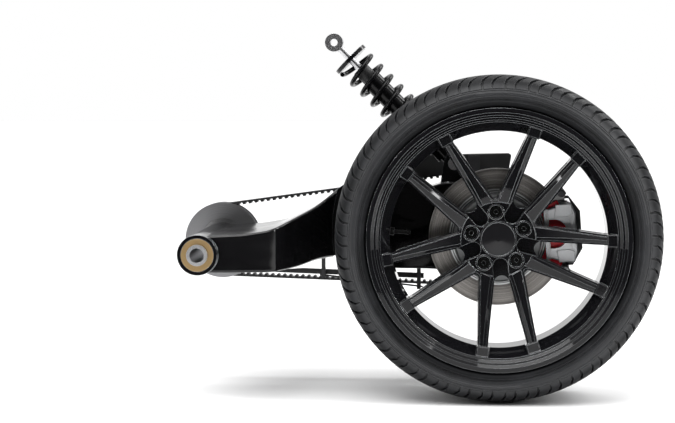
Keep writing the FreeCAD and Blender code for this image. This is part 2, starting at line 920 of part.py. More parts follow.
def make_caliper_bracket():
    """Plate round the carrier's nose, two arms that straddle the disc and a hoop behind the caliper."""
    plate_far = bracket_plate_y + bracket_plate_thickness
    bridge = disc_radius + caliper_bridge_gap
    spine_reach = piston_reach - piston_boss_radius - bracket_piston_gap
    arm_base = bracket_half_height - bracket_arm_height
    near = (carrier_nose_radius, bracket_plate_y, -bracket_half_height)
    spine = slab(near, (spine_reach, plate_far, bracket_half_height))
    end = caliper_outer_reach - bracket_inset
    pieces = [bracket_hoop(end)]
    for side in (-1, 1):
        outline = [
            (bracket_inner_reach, side * arm_base),
            (end - bracket_slant, side * arm_base),
            (end, side * (arm_base + bracket_half_height) / 2),
            (end - bracket_slant, side * bracket_half_height),
            (bracket_inner_reach, side * bracket_half_height),
        ]
        pieces.append(side_prism(outline, [0] * len(outline), bracket_front_y, plate_far))
        low = min(side * arm_base, side * bracket_half_height)
        foot_far = (bracket_inner_reach + overrun, plate_far, low + bracket_arm_height)
        pieces.append(slab((spine_reach - overrun, bracket_plate_y, low), foot_far))
    bracket = spine.fuse(pieces)
    reach = rod(bridge, -lining_start() - overrun, lining_start() + overrun)
    bracket = bracket.cut(reach)
    height = bracket_half_height - bracket_arm_height / 2
    pin_bore = guide_pin_radius + running_gap
    for z in (-height, height):
        bracket = bracket.cut(rod(pin_bore, 0, plate_far + overrun, guide_pin_reach(), z))
    bore = carrier_nose_radius + running_gap
    collar = tube(carrier_nose_radius + bracket_collar_width, bore, bracket_plate_y, plate_far)
    bracket = bracket.fuse(collar).cut(rod(bore, 0, carrier_end_y))
    return at_caliper(bracket.removeSplitter())


def make_guide_pins():
    height = bracket_half_height - bracket_arm_height / 2
    head = caliper_housing_far_y + seat_gap
    head_end = head + guide_pin_head_height
    pins = []
    for z in (-height, height):
        pin = rod(guide_pin_radius, seat_gap, head, guide_pin_reach(), z)
        cap = rod(guide_pin_head_radius, head, head_end, guide_pin_reach(), z)
        pins.append(pin.fuse(cap).removeSplitter())
    return at_caliper(Part.makeCompound(pins))


# Swing arm


def arm_places(shares):
    return [(share_x * axle_x, share_z * arm_height) for share_x, share_z in shares]


def arm_blank():
    """What the side outline and the plan outline have in common, its long edges rounded."""
    outline = arm_places(arm_start_shares + arm_top_shares + arm_end_shares + arm_low_shares)
    radii = easing(outline, arm_round_share, arm_places(arm_start_shares + arm_end_shares))
    side = side_prism(outline, radii, arm_left_y - overrun, arm_far_y + overrun)
    start = arm_start_share * axle_x
    end = arm_end_share * axle_x
    plan = [
        (start, arm_left_y), (arm_knee_x, arm_left_y), (arm_leg_x, arm_near_y),
        (end, arm_near_y), (end, arm_far_y), (start, arm_far_y),
    ]
    radii = (0, arm_knee_radius, arm_leg_radius, 0, 0, 0)
    blank = side.common(plan_prism(plan, radii, -axle_x, axle_x))
    edges = []
    for edge in blank.Edges:
        box = edge.BoundBox
        if box.XMin < start + seat_gap or box.XMax > end - seat_gap:
            continue
        middle = edge.valueAt((edge.FirstParameter + edge.LastParameter) / 2)
        if box.YMax > arm_far_y - seat_gap and box.YMin < arm_far_y - seat_gap:
            continue
        on_wall = plan_gap(middle.x, middle.y, plan) < seat_gap
        runs_along = box.ZLength < arm_height and max(box.XLength, box.YLength) > seat_gap
        if on_wall and runs_along:
            edges.append(edge)
    return blank.makeFillet(arm_edge, edges)


def plan_gap(x, y, plan):
    """Distance from a place to the nearest side of the plan outline."""
    place = Vec(x, y, 0)
    gaps = []
    for (x1, y1), (x2, y2) in zip(plan, plan[1:]):
        gaps.append(place.distanceToLineSegment(Vec(x1, y1, 0), Vec(x2, y2, 0)).Length)
    return min(gaps)


def make_swing_arm():
    tyre_radius = rim_seat_radius + seat_gap + tyre_height
    tyre_space = rod(tyre_radius + tyre_clearance, arm_left_y - overrun, arm_near_y, axle_x, axle_z)
    arm = arm_blank().cut(tyre_space)
    ring_x = axle_x - carrier_offset
    lug_end = ring_x + clamp_lug_reach
    lug = side_prism(
        [(ring_x, axle_z - clamp_lug_half_height), (lug_end, axle_z - clamp_lug_half_height),
         (lug_end, axle_z + clamp_lug_half_height), (ring_x, axle_z + clamp_lug_half_height)],
        (0, clamp_lug_corner, clamp_lug_corner, 0),
        arm_near_y + clamp_lug_inset,
        arm_far_y - clamp_lug_inset,
    )
    pieces = [
        rod(clamp_ring_radius, arm_near_y, arm_far_y, ring_x, axle_z),
        rod(pivot_tube_radius, pivot_left_y, pivot_right_y),
        lug,
    ]
    arm = arm.fuse(pieces + clevis_ears())
    cutters = [
        rod(carrier_clamp_radius + running_gap, 0, arm_far_y + overrun, ring_x, axle_z),
        rod(pivot_tube_bore, pivot_left_y - overrun, pivot_right_y + overrun),
        slab((axle_x, arm_near_y - overrun, axle_z - clamp_slot / 2),
             (lug_end + overrun, arm_far_y + overrun, axle_z + clamp_slot / 2)),
    ]
    for shares in arm_pocket_shares:
        corners = arm_places(shares)
        radii = [arm_pocket_corner] * len(corners)
        cutters.append(side_prism(corners, radii, arm_far_y - arm_pocket_depth, arm_far_y + overrun))
    bolt_height = clamp_lug_half_height + overrun
    for y in clamp_bolt_places():
        foot = Vec(ring_x + clamp_bolt_reach, y, axle_z - bolt_height)
        cutters.append(Part.makeCylinder(clamp_bolt_radius + running_gap, bolt_height * 2, foot))
    return arm.cut(cutters).removeSplitter()


def clamp_bolt_places():
    start = arm_near_y + clamp_lug_inset
    length = arm_far_y - clamp_lug_inset - start
    return [start + share * length for share in clamp_bolt_places_share]


def make_clamp_bolts():
    """Bolts across the slot that close the clamp on the carrier."""
    x = axle_x - carrier_offset + clamp_bolt_reach
    low = axle_z - clamp_lug_half_height - seat_gap
    high = axle_z + clamp_lug_half_height + seat_gap
    bolts = []
    for y in clamp_bolt_places():
        shank = Part.makeCylinder(clamp_bolt_radius, high - low, Vec(x, y, low))
        head = Part.makeCylinder(clamp_head_radius, clamp_head_height, Vec(x, y, high))
        nut = Part.makeCylinder(clamp_head_radius, clamp_head_height, Vec(x, y, low - clamp_head_height))
        bolts.append(shank.fuse([head, nut]).removeSplitter())
    return Part.makeCompound(bolts)


def clevis_ears():
    inner = shock_eye_width / 2 + clevis_gap
    outer = inner + clevis_ear
    ears = []
    for start in (shock_y - outer, shock_y + inner):
        ear = rod(clevis_radius, start, start + clevis_ear, shock_low_x, shock_low_z)
        foot = side_prism(
            [
                (shock_low_x - clevis_foot, axle_z),
                (shock_low_x + clevis_foot, axle_z),
                (shock_low_x + clevis_radius, shock_low_z),
                (shock_low_x - clevis_radius, shock_low_z),
            ],
            (0, 0, 0, 0),
            start,
            start + clevis_ear,
        )
        end = start + clevis_ear + overrun
        hole = rod(shock_bolt_radius + running_gap, start - overrun, end, shock_low_x, shock_low_z)
        ears.append(ear.fuse(foot).cut(hole))
    return ears


def make_pivot_bushes():
    outer = pivot_tube_bore - running_gap
    inner = sleeve_radius + running_gap
    starts = (pivot_left_y, pivot_right_y - bush_length)
    return Part.makeCompound([tube(outer, inner, start, start + bush_length) for start in starts])


def make_pivot_sleeve():
    return tube(sleeve_radius, sleeve_bore, sleeve_left_y, sleeve_right_y)


def make_pulley_housing():
    start = pivot_right_y + seat_gap
    return tube(housing_radius, sleeve_radius + running_gap, start, belt_near_y + belt_width + overrun)


def make_pulley_bearing():
    return tube(pulley_bearing_radius, housing_radius + running_gap, belt_near_y, belt_near_y + belt_width)


# Belt drive


def pitch_radius(teeth):
    return teeth * belt_pitch / math.pi / 2


def belt_side(radius_rear, radius_front, upper):
    """Ends of a straight run that touches a circle round each pulley, front end first."""
    length = axle.Length
    lean = math.asin((radius_rear - radius_front) / length)
    centre_line = math.atan2(axle_z, axle_x)
    sign = 1 if upper else -1
    angle = centre_line + sign * (math.pi / 2 + lean)
    direction = Vec(math.cos(angle), 0, math.sin(angle))
    return direction * radius_front, axle + direction * radius_rear


def belt_loop(offset, toothed):
    """Closed outline of the belt at a distance outside the pitch line."""
    rear = pitch_radius(rear_teeth) + offset
    front = pitch_radius(front_teeth) + offset
    front_top, rear_top = belt_side(rear, front, True)
    front_low, rear_low = belt_side(rear, front, False)
    centre_line = axle * (1 / axle.Length)
    edges = [Part.Arc(rear_top, axle + centre_line * rear, rear_low).toShape()]
    edges += run_edges(rear_low, front_low, rear_teeth, front_teeth, toothed)
    edges.append(Part.Arc(front_low, centre_line * -front, front_top).toShape())
    edges += run_edges(front_top, rear_top, front_teeth, rear_teeth, toothed)
    return Part.Wire(edges)


def relief(teeth):
    """Length of run beside a pulley where a tooth would touch the turning wheel."""
    return math.sqrt(pitch_radius(teeth) * 2 * (tooth_height + belt_mesh_gap * 2)) + belt_pitch / 2


def run_edges(start, end, start_teeth, end_teeth, toothed):
    """Straight run, plain or with teeth on the side that faces the pulleys."""
    if not toothed:
        return [Part.LineSegment(start, end).toShape()]
    along = (end - start).normalize()
    inward = Vec(along.z, 0, -along.x)
    free = (end - start).Length - relief(start_teeth) - relief(end_teeth)
    count = int(free / belt_pitch)
    margin = relief(start_teeth) + (free - count * belt_pitch) / 2
    points = [start]
    for index in range(count):
        middle = start + along * (margin + belt_pitch / 2 + index * belt_pitch)
        root = along * (belt_pitch * tooth_root_share / 2)
        tip = along * (belt_pitch * tooth_tip_share / 2)
        drop = inward * tooth_height
        points += [middle - root, middle - tip + drop, middle + tip + drop, middle + root]
    points.append(end)
    return [Part.LineSegment(a, b).toShape() for a, b in zip(points, points[1:])]


def make_belt():
    outer = Part.Face(belt_loop(belt_back, False))
    inner = Part.Face(belt_loop(-belt_web, True))
    belt = outer.cut(inner).extrude(Vec(0, belt_width, 0))
    return belt.translated(Vec(0, belt_near_y, 0))


def toothed_ring(teeth, start_y, end_y):
    """Toothed wheel outline, its tips just inside the belt's web."""
    tip = pitch_radius(teeth) - belt_web - belt_mesh_gap
    root = tip - tooth_height - belt_mesh_gap
    step = full_turn / teeth
    wide = step * tooth_root_share / 2
    narrow = step * tooth_tip_share / 2
    points = []
    for index in range(teeth):
        middle = index * step
        points.append(polar(tip, middle - wide))
        points.append(polar(root, middle - narrow))
        points.append(polar(root, middle + narrow))
        points.append(polar(tip, middle + wide))
    return side_prism(points, [0] * len(points), start_y, end_y)


def pulley_blank(teeth, bore):
    start = belt_near_y - pulley_side_gap
    end = belt_near_y + belt_width + pulley_side_gap
    wheel = toothed_ring(teeth, start, end)
    flange = pitch_radius(teeth) + pulley_flange_rise
    wheel = wheel.fuse(rod(flange, pulley_start_y, start))
    wheel = wheel.fuse(rod(flange, end, pulley_end_y))
    return wheel.cut(rod(bore, pulley_start_y - overrun, pulley_end_y + overrun))


def make_rear_pulley():
    wheel = pulley_blank(rear_teeth, axle_radius + running_gap)
    root = pitch_radius(rear_teeth) - tooth_height - belt_web
    rim_inner = root - pulley_rim_depth
    middle = (pulley_start_y + pulley_end_y) / 2
    half_web = pulley_web_thickness / 2
    cutters = [
        tube(rim_inner, pulley_hub_radius, pulley_start_y - overrun, middle - half_web),
        tube(rim_inner, pulley_hub_radius, middle + half_web, pulley_end_y + overrun),
    ]
    half = full_turn / pulley_window_count * pulley_window_share / 2
    inner = pulley_hub_radius + pulley_window_margin
    outer = rim_inner - pulley_window_margin
    corner = pulley_window_margin
    opening = side_prism(
        [polar(inner, -half), polar(outer, -half), polar(outer, 0), polar(outer, half), polar(inner, half)],
        [corner / 2, corner, 0, corner, corner / 2],
        pulley_start_y,
        pulley_end_y,
    )
    return on_axle(wheel.cut(cutters + ring_of(opening, pulley_window_count)))


def make_axle_spacer():
    start = bearing_far_y + bearing_width + seat_gap
    end = pulley_start_y - seat_gap
    return on_axle(tube(axle_nut_radius, axle_radius + running_gap, start, end))


def make_front_pulley():
    return pulley_blank(front_teeth, pulley_bearing_radius + running_gap)


def make_drive_coupling():
    start = pulley_end_y
    end = start + coupling_thickness
    ring = tube(coupling_radius, pulley_bearing_radius, start, end)
    hole = rod(coupling_bolt_radius, start - overrun, end + overrun, coupling_bolt_circle)
    return ring.cut(ring_of(hole, coupling_bolts))


# Belt guards


def belt_height(x, upper, gap):
    """Height of the line that runs beside a belt run, a gap outside its back."""
    offset = belt_back + gap
    front, rear = belt_side(pitch_radius(rear_teeth) + offset, pitch_radius(front_teeth) + offset, upper)
    return front.z + (rear.z - front.z) * (x - front.x) / (rear.x - front.x)


def make_upper_guard():
    """Deep channel over the upper run, open below and behind."""
    low_start = belt_height(guard_start_x, True, guard_clearance)
    low_end = belt_height(guard_end_x, True, guard_clearance)
    top_x = guard_end_x + guard_end_lean
    points = [
        (guard_start_x, low_start - guard_skirt_start),
        (guard_end_x, low_end - guard_skirt_end),
        (top_x, guard_top_z + guard_end_rise),
        (guard_start_x, guard_top_z),
    ]
    cover = side_prism(points, (0, 0, guard_corner, 0), guard_near_y - guard_wall, guard_far_y)
    room = side_prism(
        [
            (guard_start_x - overrun, low_start - guard_skirt_start - overrun),
            (top_x + overrun, low_end - guard_skirt_end - overrun * 2),
            (top_x + overrun, guard_top_z + guard_end_rise - guard_wall),
            (guard_start_x - overrun, guard_top_z - guard_wall),
        ],
        (0, 0, 0, 0),
        guard_near_y,
        guard_far_y - guard_wall,
    )
    return cover.cut(room)


def lower_guard_line(x):
    """Height of the lower strip's under edge, inside the loop and just above the belt's teeth."""
    inside = belt_back + belt_web + tooth_height + lower_guard_lift
    return belt_height(x, False, 0) + inside


def make_lower_guard():
    """Strip above the lower run, and the thin rail that its clips hold below the belt."""
    end_x = lower_guard_end_x
    points = [
        (lower_guard_start_x, lower_guard_line(lower_guard_start_x)),
        (end_x, lower_guard_line(end_x)),
        (end_x, lower_guard_line(end_x) + lower_guard_height),
        (lower_guard_slope_x, lower_guard_line(lower_guard_slope_x) + lower_guard_height),
        (lower_guard_start_x, lower_guard_line(lower_guard_start_x) + guard_wall),
    ]
    strip = side_prism(points, [0] * len(points), guard_near_y, guard_near_y + guard_wall)
    start, end = rail_ends()
    rail = Part.makeCylinder(rail_radius, (end - start).Length, start, end - start)
    return Part.makeCompound([strip, rail])


def rail_ends():
    first = Vec(clip_places_x[0], rail_y, rail_start_z)
    last = Vec(clip_places_x[-1], rail_y, rail_end_z)
    along = (last - first).normalize()
    return first - along * rail_overhang, last + along * rail_overhang


def make_guard_brackets():
    """Clips for the lower strip and its rail, a boss and a tab for the upper guard."""
    half = clip_width / 2
    face = arm_far_y + seat_gap
    start, end = rail_ends()
    brackets = []
    for x in clip_places_x:
        rail_z = start.z + (end.z - start.z) * (x - start.x) / (end.x - start.x)
        low = min(rail_z, lower_guard_line(x)) - rail_radius - clip_margin
        high = lower_guard_line(x) + lower_guard_height + clip_margin
        block = slab((x - half, face, low), (x + half, guard_near_y - seat_gap, high))
        foot_far = (x + half, face + clip_foot_thickness, high + clip_foot_height)
        foot = slab((x - half, face, high - overrun), foot_far)
        hole = Part.makeCylinder(rail_radius + running_gap, (end - start).Length, start, end - start)
        brackets.append(block.fuse(foot).cut(hole).removeSplitter())
    back = guard_near_y - guard_wall - seat_gap
    boss_z = belt_height(guard_boss_x, True, guard_clearance) + guard_boss_rise
    brackets.append(rod(guard_boss_radius, face, back, guard_boss_x, boss_z))
    high = belt_height(guard_tab_x, True, guard_clearance) + guard_boss_rise
    half = guard_tab_width / 2
    tab_far = (guard_tab_x + half, face + clip_foot_thickness, high + half)
    tab = slab((guard_tab_x - half, face, guard_tab_low_z), tab_far)
    tab = tab.fuse(rod(guard_boss_radius, face, back, guard_tab_x, high))
    brackets.append(tab.removeSplitter())
    return Part.makeCompound(brackets)


# Shock absorber


def shock_axis():
    low = Vec(shock_low_x, shock_y, shock_low_z)
    high = Vec(shock_high_x, shock_y, shock_high_z)
    return low, (high - low).normalize(), (high - low).Length


def shock_rod_piece(radius, start, end):
    low, along, _ = shock_axis()
    return Part.makeCylinder(radius, end - start, low + along * start, along)


def shock_eye(x, z):
    half = shock_eye_width / 2
    return rod(shock_eye_radius, shock_y - half, shock_y + half, x, z)


def eye_hole(x, z):
    return rod(shock_eye_bore, shock_y - shock_eye_width, shock_y + shock_eye_width, x, z)


def make_shock_body():
    start = clevis_radius + shock_neck_gap
    body = shock_rod_piece(shock_body_radius, start, shock_body_length)
    body = body.fuse(shock_rod_piece(shock_neck_radius, shock_eye_radius / 2, start))
    body = body.fuse(shock_eye(shock_low_x, shock_low_z))
    body = body.cut(eye_hole(shock_low_x, shock_low_z))
    bore = shock_rod_piece(shock_rod_radius + running_gap, shock_body_length / 2, shock_body_length + overrun)
    return body.cut(bore)


def make_shock_rod():
    _, _, length = shock_axis()
    piece = shock_rod_piece(shock_rod_radius, shock_body_length / 2 + overrun, length - shock_eye_radius / 2)
    piece = piece.fuse(shock_eye(shock_high_x, shock_high_z))
    return piece.cut(eye_hole(shock_high_x, shock_high_z))


def make_spring_seats():
    collar_radius = spring_radius - spring_wire_radius * 2 - seat_collar_gap
    start = spring_low - seat_thickness
    end = spring_high + seat_thickness
    low = shock_rod_piece(spring_radius, start, spring_low)
    low = low.fuse(shock_rod_piece(collar_radius, start, spring_low + seat_collar_length))
    low = low.cut(shock_rod_piece(shock_body_radius + running_gap, 0, spring_high))
    high = shock_rod_piece(spring_radius, spring_high, end)
    high = high.cut(shock_rod_piece(shock_rod_radius + running_gap, spring_low, end + overrun))
    return low, high


def make_shock_spring():
    """Coil of a wire drawn with eight sides, which keeps its mesh light."""
    low, along, _ = shock_axis()
    wire = spring_wire_radius
    radius = spring_radius - wire
    height = spring_high - spring_low - wire * 2 - seat_gap * 2
    helix = Part.makeHelix(height / spring_turns, height, radius)
    corners = []
    for index in range(spring_wire_sides):
        x, z = polar(wire, full_turn * index / spring_wire_sides)
        corners.append(Vec(radius + x, 0, z))
    profile = Part.makePolygon(corners + corners[:1])
    coil = Part.Wire(helix).makePipeShell([profile], True, True)
    turn = FreeCAD.Rotation(upward, along)
    coil.Placement = FreeCAD.Placement(low + along * (spring_low + wire + seat_gap), turn)
    return coil


def make_bump_stop():
    end = shock_body_length + bump_stop_length
    piece = shock_rod_piece(bump_stop_radius, shock_body_length + seat_gap, end)
    return piece.cut(shock_rod_piece(shock_rod_radius + running_gap, 0, spring_high))


def make_shock_bolt():
    half = shock_eye_width / 2 + clevis_gap + clevis_ear
    near = shock_y - half
    far = shock_y + half
    bolt = rod(shock_bolt_radius, near, far, shock_low_x, shock_low_z)
    head = rod(shock_head_radius, near - shock_head_height, near, shock_low_x, shock_low_z)
    nut = rod(shock_head_radius, far, far + shock_head_height, shock_low_x, shock_low_z)
    return bolt.fuse([head, nut]).removeSplitter()


def main():
    os.makedirs("parts", exist_ok=True)
    low_seat, high_seat = make_spring_seats()
    pieces = {
        "tyre": make_tyre(),
        "rim": make_rim(),
        "lug_nuts": make_nuts(),
        "centre_cap": make_centre_cap(),
        "valve_stem": make_valve(),
        "wheel_hub": make_hub(),
        "axle": make_axle(),
        "axle_nut": make_axle_nut(),
        "axle_spacer": make_axle_spacer(),
        "wheel_bearings": make_wheel_bearings(),
        "hub_carrier": make_hub_carrier(),
        "disc_ring": make_disc_ring(),
        "disc_hat": make_disc_hat(),
        "pad_linings": make_pad_linings(),
        "pad_backings": make_pad_backings(),
        "caliper_body": make_caliper_body(),
        "caliper_pistons": make_caliper_pistons(),
        "caliper_bracket": make_caliper_bracket(),
        "guide_pins": make_guide_pins(),
        "swing_arm": make_swing_arm(),
        "clamp_bolts": make_clamp_bolts(),
        "pivot_bushes": make_pivot_bushes(),
        "pivot_sleeve": make_pivot_sleeve(),
        "pulley_housing": make_pulley_housing(),
        "pulley_bearing": make_pulley_bearing(),
        "drive_belt": make_belt(),
        "rear_pulley": make_rear_pulley(),
        "front_pulley": make_front_pulley(),
        "drive_coupling": make_drive_coupling(),
        "upper_belt_guard": make_upper_guard(),
        "lower_belt_guard": make_lower_guard(),
        "guard_brackets": make_guard_brackets(),
        "shock_body": make_shock_body(),
        "shock_rod": make_shock_rod(),
        "spring_seat_low": low_seat,
        "spring_seat_high": high_seat,
        "shock_spring": make_shock_spring(),
        "bump_stop": make_bump_stop(),
        "shock_bolt": make_shock_bolt(),
    }
    for name, shape in pieces.items():
        save(name, shape)
        print(name, len(shape.Solids), shape.isValid(), round(shape.Volume / cubic_cm), "cm3")


main()
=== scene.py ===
"""Looks for the rear wheel and swing arm assembly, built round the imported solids. Metres."""

import math

import bpy
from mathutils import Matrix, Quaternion, Vector


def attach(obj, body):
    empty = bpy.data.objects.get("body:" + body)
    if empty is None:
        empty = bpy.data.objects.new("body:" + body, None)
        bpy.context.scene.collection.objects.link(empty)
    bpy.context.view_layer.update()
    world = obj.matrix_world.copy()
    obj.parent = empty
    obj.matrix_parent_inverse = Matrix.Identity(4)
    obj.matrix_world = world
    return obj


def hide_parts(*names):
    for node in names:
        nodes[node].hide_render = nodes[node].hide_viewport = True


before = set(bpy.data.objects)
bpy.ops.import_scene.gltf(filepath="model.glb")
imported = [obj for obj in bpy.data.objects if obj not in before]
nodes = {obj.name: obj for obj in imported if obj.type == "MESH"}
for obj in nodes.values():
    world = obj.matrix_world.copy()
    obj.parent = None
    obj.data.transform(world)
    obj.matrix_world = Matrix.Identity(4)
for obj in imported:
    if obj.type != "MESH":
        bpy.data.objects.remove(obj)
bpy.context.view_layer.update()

AXLE = Vector((0.620, 0.0, 0.032))
PIVOT = Vector((0.0, 0.0, 0.0))
TYRE_RADIUS = 0.3413
FLOOR_Z = AXLE.z - TYRE_RADIUS
UP = Vector((0, 0, 1))
TURN = math.tau
MM = 0.001
SIDES = (-1, 1)


# Camera, floor and light

# In pixels of the photo: its width, the focal length, and how far left and down the picture's middle
# lies from the point that the camera would face if it looked straight at the wheel's plane
PHOTO_WIDTH = 675
FOCAL_LENGTH = 1680
MIDDLE_LEFT = 107.8
MIDDLE_DOWN = 105.6
SENSOR_WIDTH = 36.0
CAMERA_PLACE = (0.510, -3.557, 0.307)

SUN_POWER = 2.3
SUN_SPREAD = math.radians(50)
SUN_DIRECTION = (0.22, 0.30, -1.0)

# Each lamp's name, place, aim, width and height, watts, and roll in degrees
LAMPS = (
    ("left_strip", (-1.6, -1.2, 0.9), (0.5, 0.0, 0.0), (0.12, 2.0), 14.0, 0.0),
    ("right_strip", (2.6, -0.8, 1.3), (0.6, 0.0, 0.0), (0.25, 2.0), 32.0, 0.0),
    ("back_strip", (1.77, 0.95, 1.70), (0.62, 0.0, 0.03), (1.5, 0.3), 20.0, 35.0),
)

# Brightness of the studio's front and ceiling, where the backdrop behind is 1, and the directions
# between which the one turns into the other
FRONT_LEVEL = 0.05
CEILING_LEVEL = 0.75
FRONT_TO_BACK = (-0.05, 0.30)
WALL_TO_CEILING = (0.25, 0.75)

FLOOR_REACH = 60.0
FLOOR_FRONT = -2.2


def add_object(name, data):
    """New object in the scene."""
    made = bpy.data.objects.new(name, data)
    bpy.context.collection.objects.link(made)
    return made


def facing(direction):
    """Rotation of a camera or lamp that looks along a direction."""
    return Vector(direction).to_track_quat("-Z", "Y")


def add_camera():
    """Camera at the photo's place and angle."""
    bpy.context.scene.view_settings.view_transform = "Standard"
    data = bpy.data.cameras.new("camera")
    data.sensor_width = SENSOR_WIDTH
    data.lens = SENSOR_WIDTH * FOCAL_LENGTH / PHOTO_WIDTH
    camera = add_object("camera", data)
    camera.location = CAMERA_PLACE
    aim = (-MIDDLE_LEFT / FOCAL_LENGTH, 1.0, -MIDDLE_DOWN / FOCAL_LENGTH)
    camera.rotation_euler = facing(aim).to_euler()
    bpy.context.scene.camera = camera


def add_lamp(name, place, aim, size, power, roll):
    """Rectangular lamp that looks at a point, rolled about its own line of sight."""
    data = bpy.data.lights.new(name, "AREA")
    data.shape = "RECTANGLE"
    data.size, data.size_y = size
    data.energy = power
    lamp = add_object(name, data)
    lamp.location = place
    rolled = facing(Vector(aim) - Vector(place)) @ Quaternion(UP, math.radians(roll))
    lamp.rotation_euler = rolled.to_euler()


def add_sun():
    """Broad soft light from above, which keeps the floor evenly white and its shadows faint."""
    data = bpy.data.lights.new("overhead", "SUN")
    data.energy = SUN_POWER
    data.angle = SUN_SPREAD
    sun = add_object("overhead", data)
    sun.rotation_euler = facing(SUN_DIRECTION).to_euler()


def add_world():
    """White backdrop behind, a darker studio in front and a pale ceiling."""
    world = bpy.data.worlds.new("studio")
    world.use_nodes = True
    world.node_tree.nodes.clear()
    studio = Nodes(world.node_tree)
    direction = studio.split(studio.add("TexCoord").outputs["Generated"])
    behind = studio.span(direction["Y"], FRONT_TO_BACK, (FRONT_LEVEL, 1.0), "SMOOTHSTEP")
    above = studio.span(direction["Z"], WALL_TO_CEILING, (0.0, CEILING_LEVEL), "SMOOTHSTEP")
    level = studio.combine(behind, above, "MAXIMUM")
    seen = studio.add("LightPath").outputs["Is Camera Ray"]
    shade = studio.add("Background")
    shade.inputs["Color"].default_value = (1, 1, 1, 1)
    studio.link(studio.combine(seen, level, "MAXIMUM"), shade.inputs["Strength"])
    studio.link(shade.outputs[0], studio.add("OutputWorld").inputs[0])
    bpy.context.scene.world = world


def add_floor():
    """Wide pale floor that ends a little way in front, so that faces turned to the front stay dark."""
    mesh = bpy.data.meshes.new("floor")
    corners = (
        (-FLOOR_REACH, FLOOR_FRONT, FLOOR_Z),
        (FLOOR_REACH, FLOOR_FRONT, FLOOR_Z),
        (FLOOR_REACH, FLOOR_REACH, FLOOR_Z),
        (-FLOOR_REACH, FLOOR_REACH, FLOOR_Z),
    )
    mesh.from_pydata(corners, [], [(0, 1, 2, 3)])
    floor = add_object("floor", mesh)
    look = Look("floor_white", (0.95, 0.95, 0.95), rough=0.6, shine=0.1)
    mesh.materials.append(look.material)


# Materials

# The range that most of a noise's values fall in
NOISE_RANGE = (0.35, 0.65)
# Cosine of the angle between a face and its softened normal, where a painted highlight line along an edge
# starts and is full
EDGE_HIGHLIGHT_RANGE = (0.99, 0.86)
# Colour of the painted highlight lines along edges, and their width on gloss paint
EDGE_HIGHLIGHT_GREY = (0.30, 0.31, 0.32)
PAINT_EDGE_HIGHLIGHT = 0.0016

# Zones on the wheel by their distance from the axle, each from where it starts to where it is full
BARREL_START = (0.2222, 0.2238)
LIP_START = (0.2405, 0.2425)
# Towards the outer face the barrel starts further out, by CONE_SHIFT at the first of these depths
CONE_DEPTHS = (-0.1165, -0.085)
CONE_SHIFT = 0.0185

# Painted highlights: two bright rings on the disc's hat, as inner and outer radius, and the width over which
# each fades
HAT_HIGHLIGHT_RINGS = ((0.0938, 0.0962), (0.0984, 0.1012))
HIGHLIGHT_RING_FADE = 0.0004

# Depth at which the caliper bracket's lugs start to be machined, and where they are fully bright
MACHINED_DEPTH = (-0.0225, -0.0235)


class Nodes:
    """Short calls for building a node tree."""

    def __init__(self, tree):
        self.tree = tree

    def add(self, kind, **settings):
        node = self.tree.nodes.new("ShaderNode" + kind)
        for key, value in settings.items():
            setattr(node, key, value)
        return node

    def link(self, source, target):
        self.tree.links.new(source, target)

    def split(self, source):
        """X, Y and Z of a vector."""
        node = self.add("SeparateXYZ")
        self.link(source, node.inputs[0])
        return node.outputs

    def span(self, source, given, wanted, easing="LINEAR"):
        """A number carried from one range to another and held at its ends."""
        node = self.add("MapRange", interpolation_type=easing)
        for index, value in enumerate((*given, *wanted), 1):
            node.inputs[index].default_value = value
        self.link(source, node.inputs[0])
        return node.outputs[0]

    def combine(self, first, second, operation="ADD"):
        """Sum, or another operation, of two values that are numbers or outputs."""
        node = self.add("Math", operation=operation)
        for socket, value in zip(node.inputs, (first, second)):
            if isinstance(value, (int, float)):
                socket.default_value = value
            else:
                self.link(value, socket)
        return node.outputs[0]


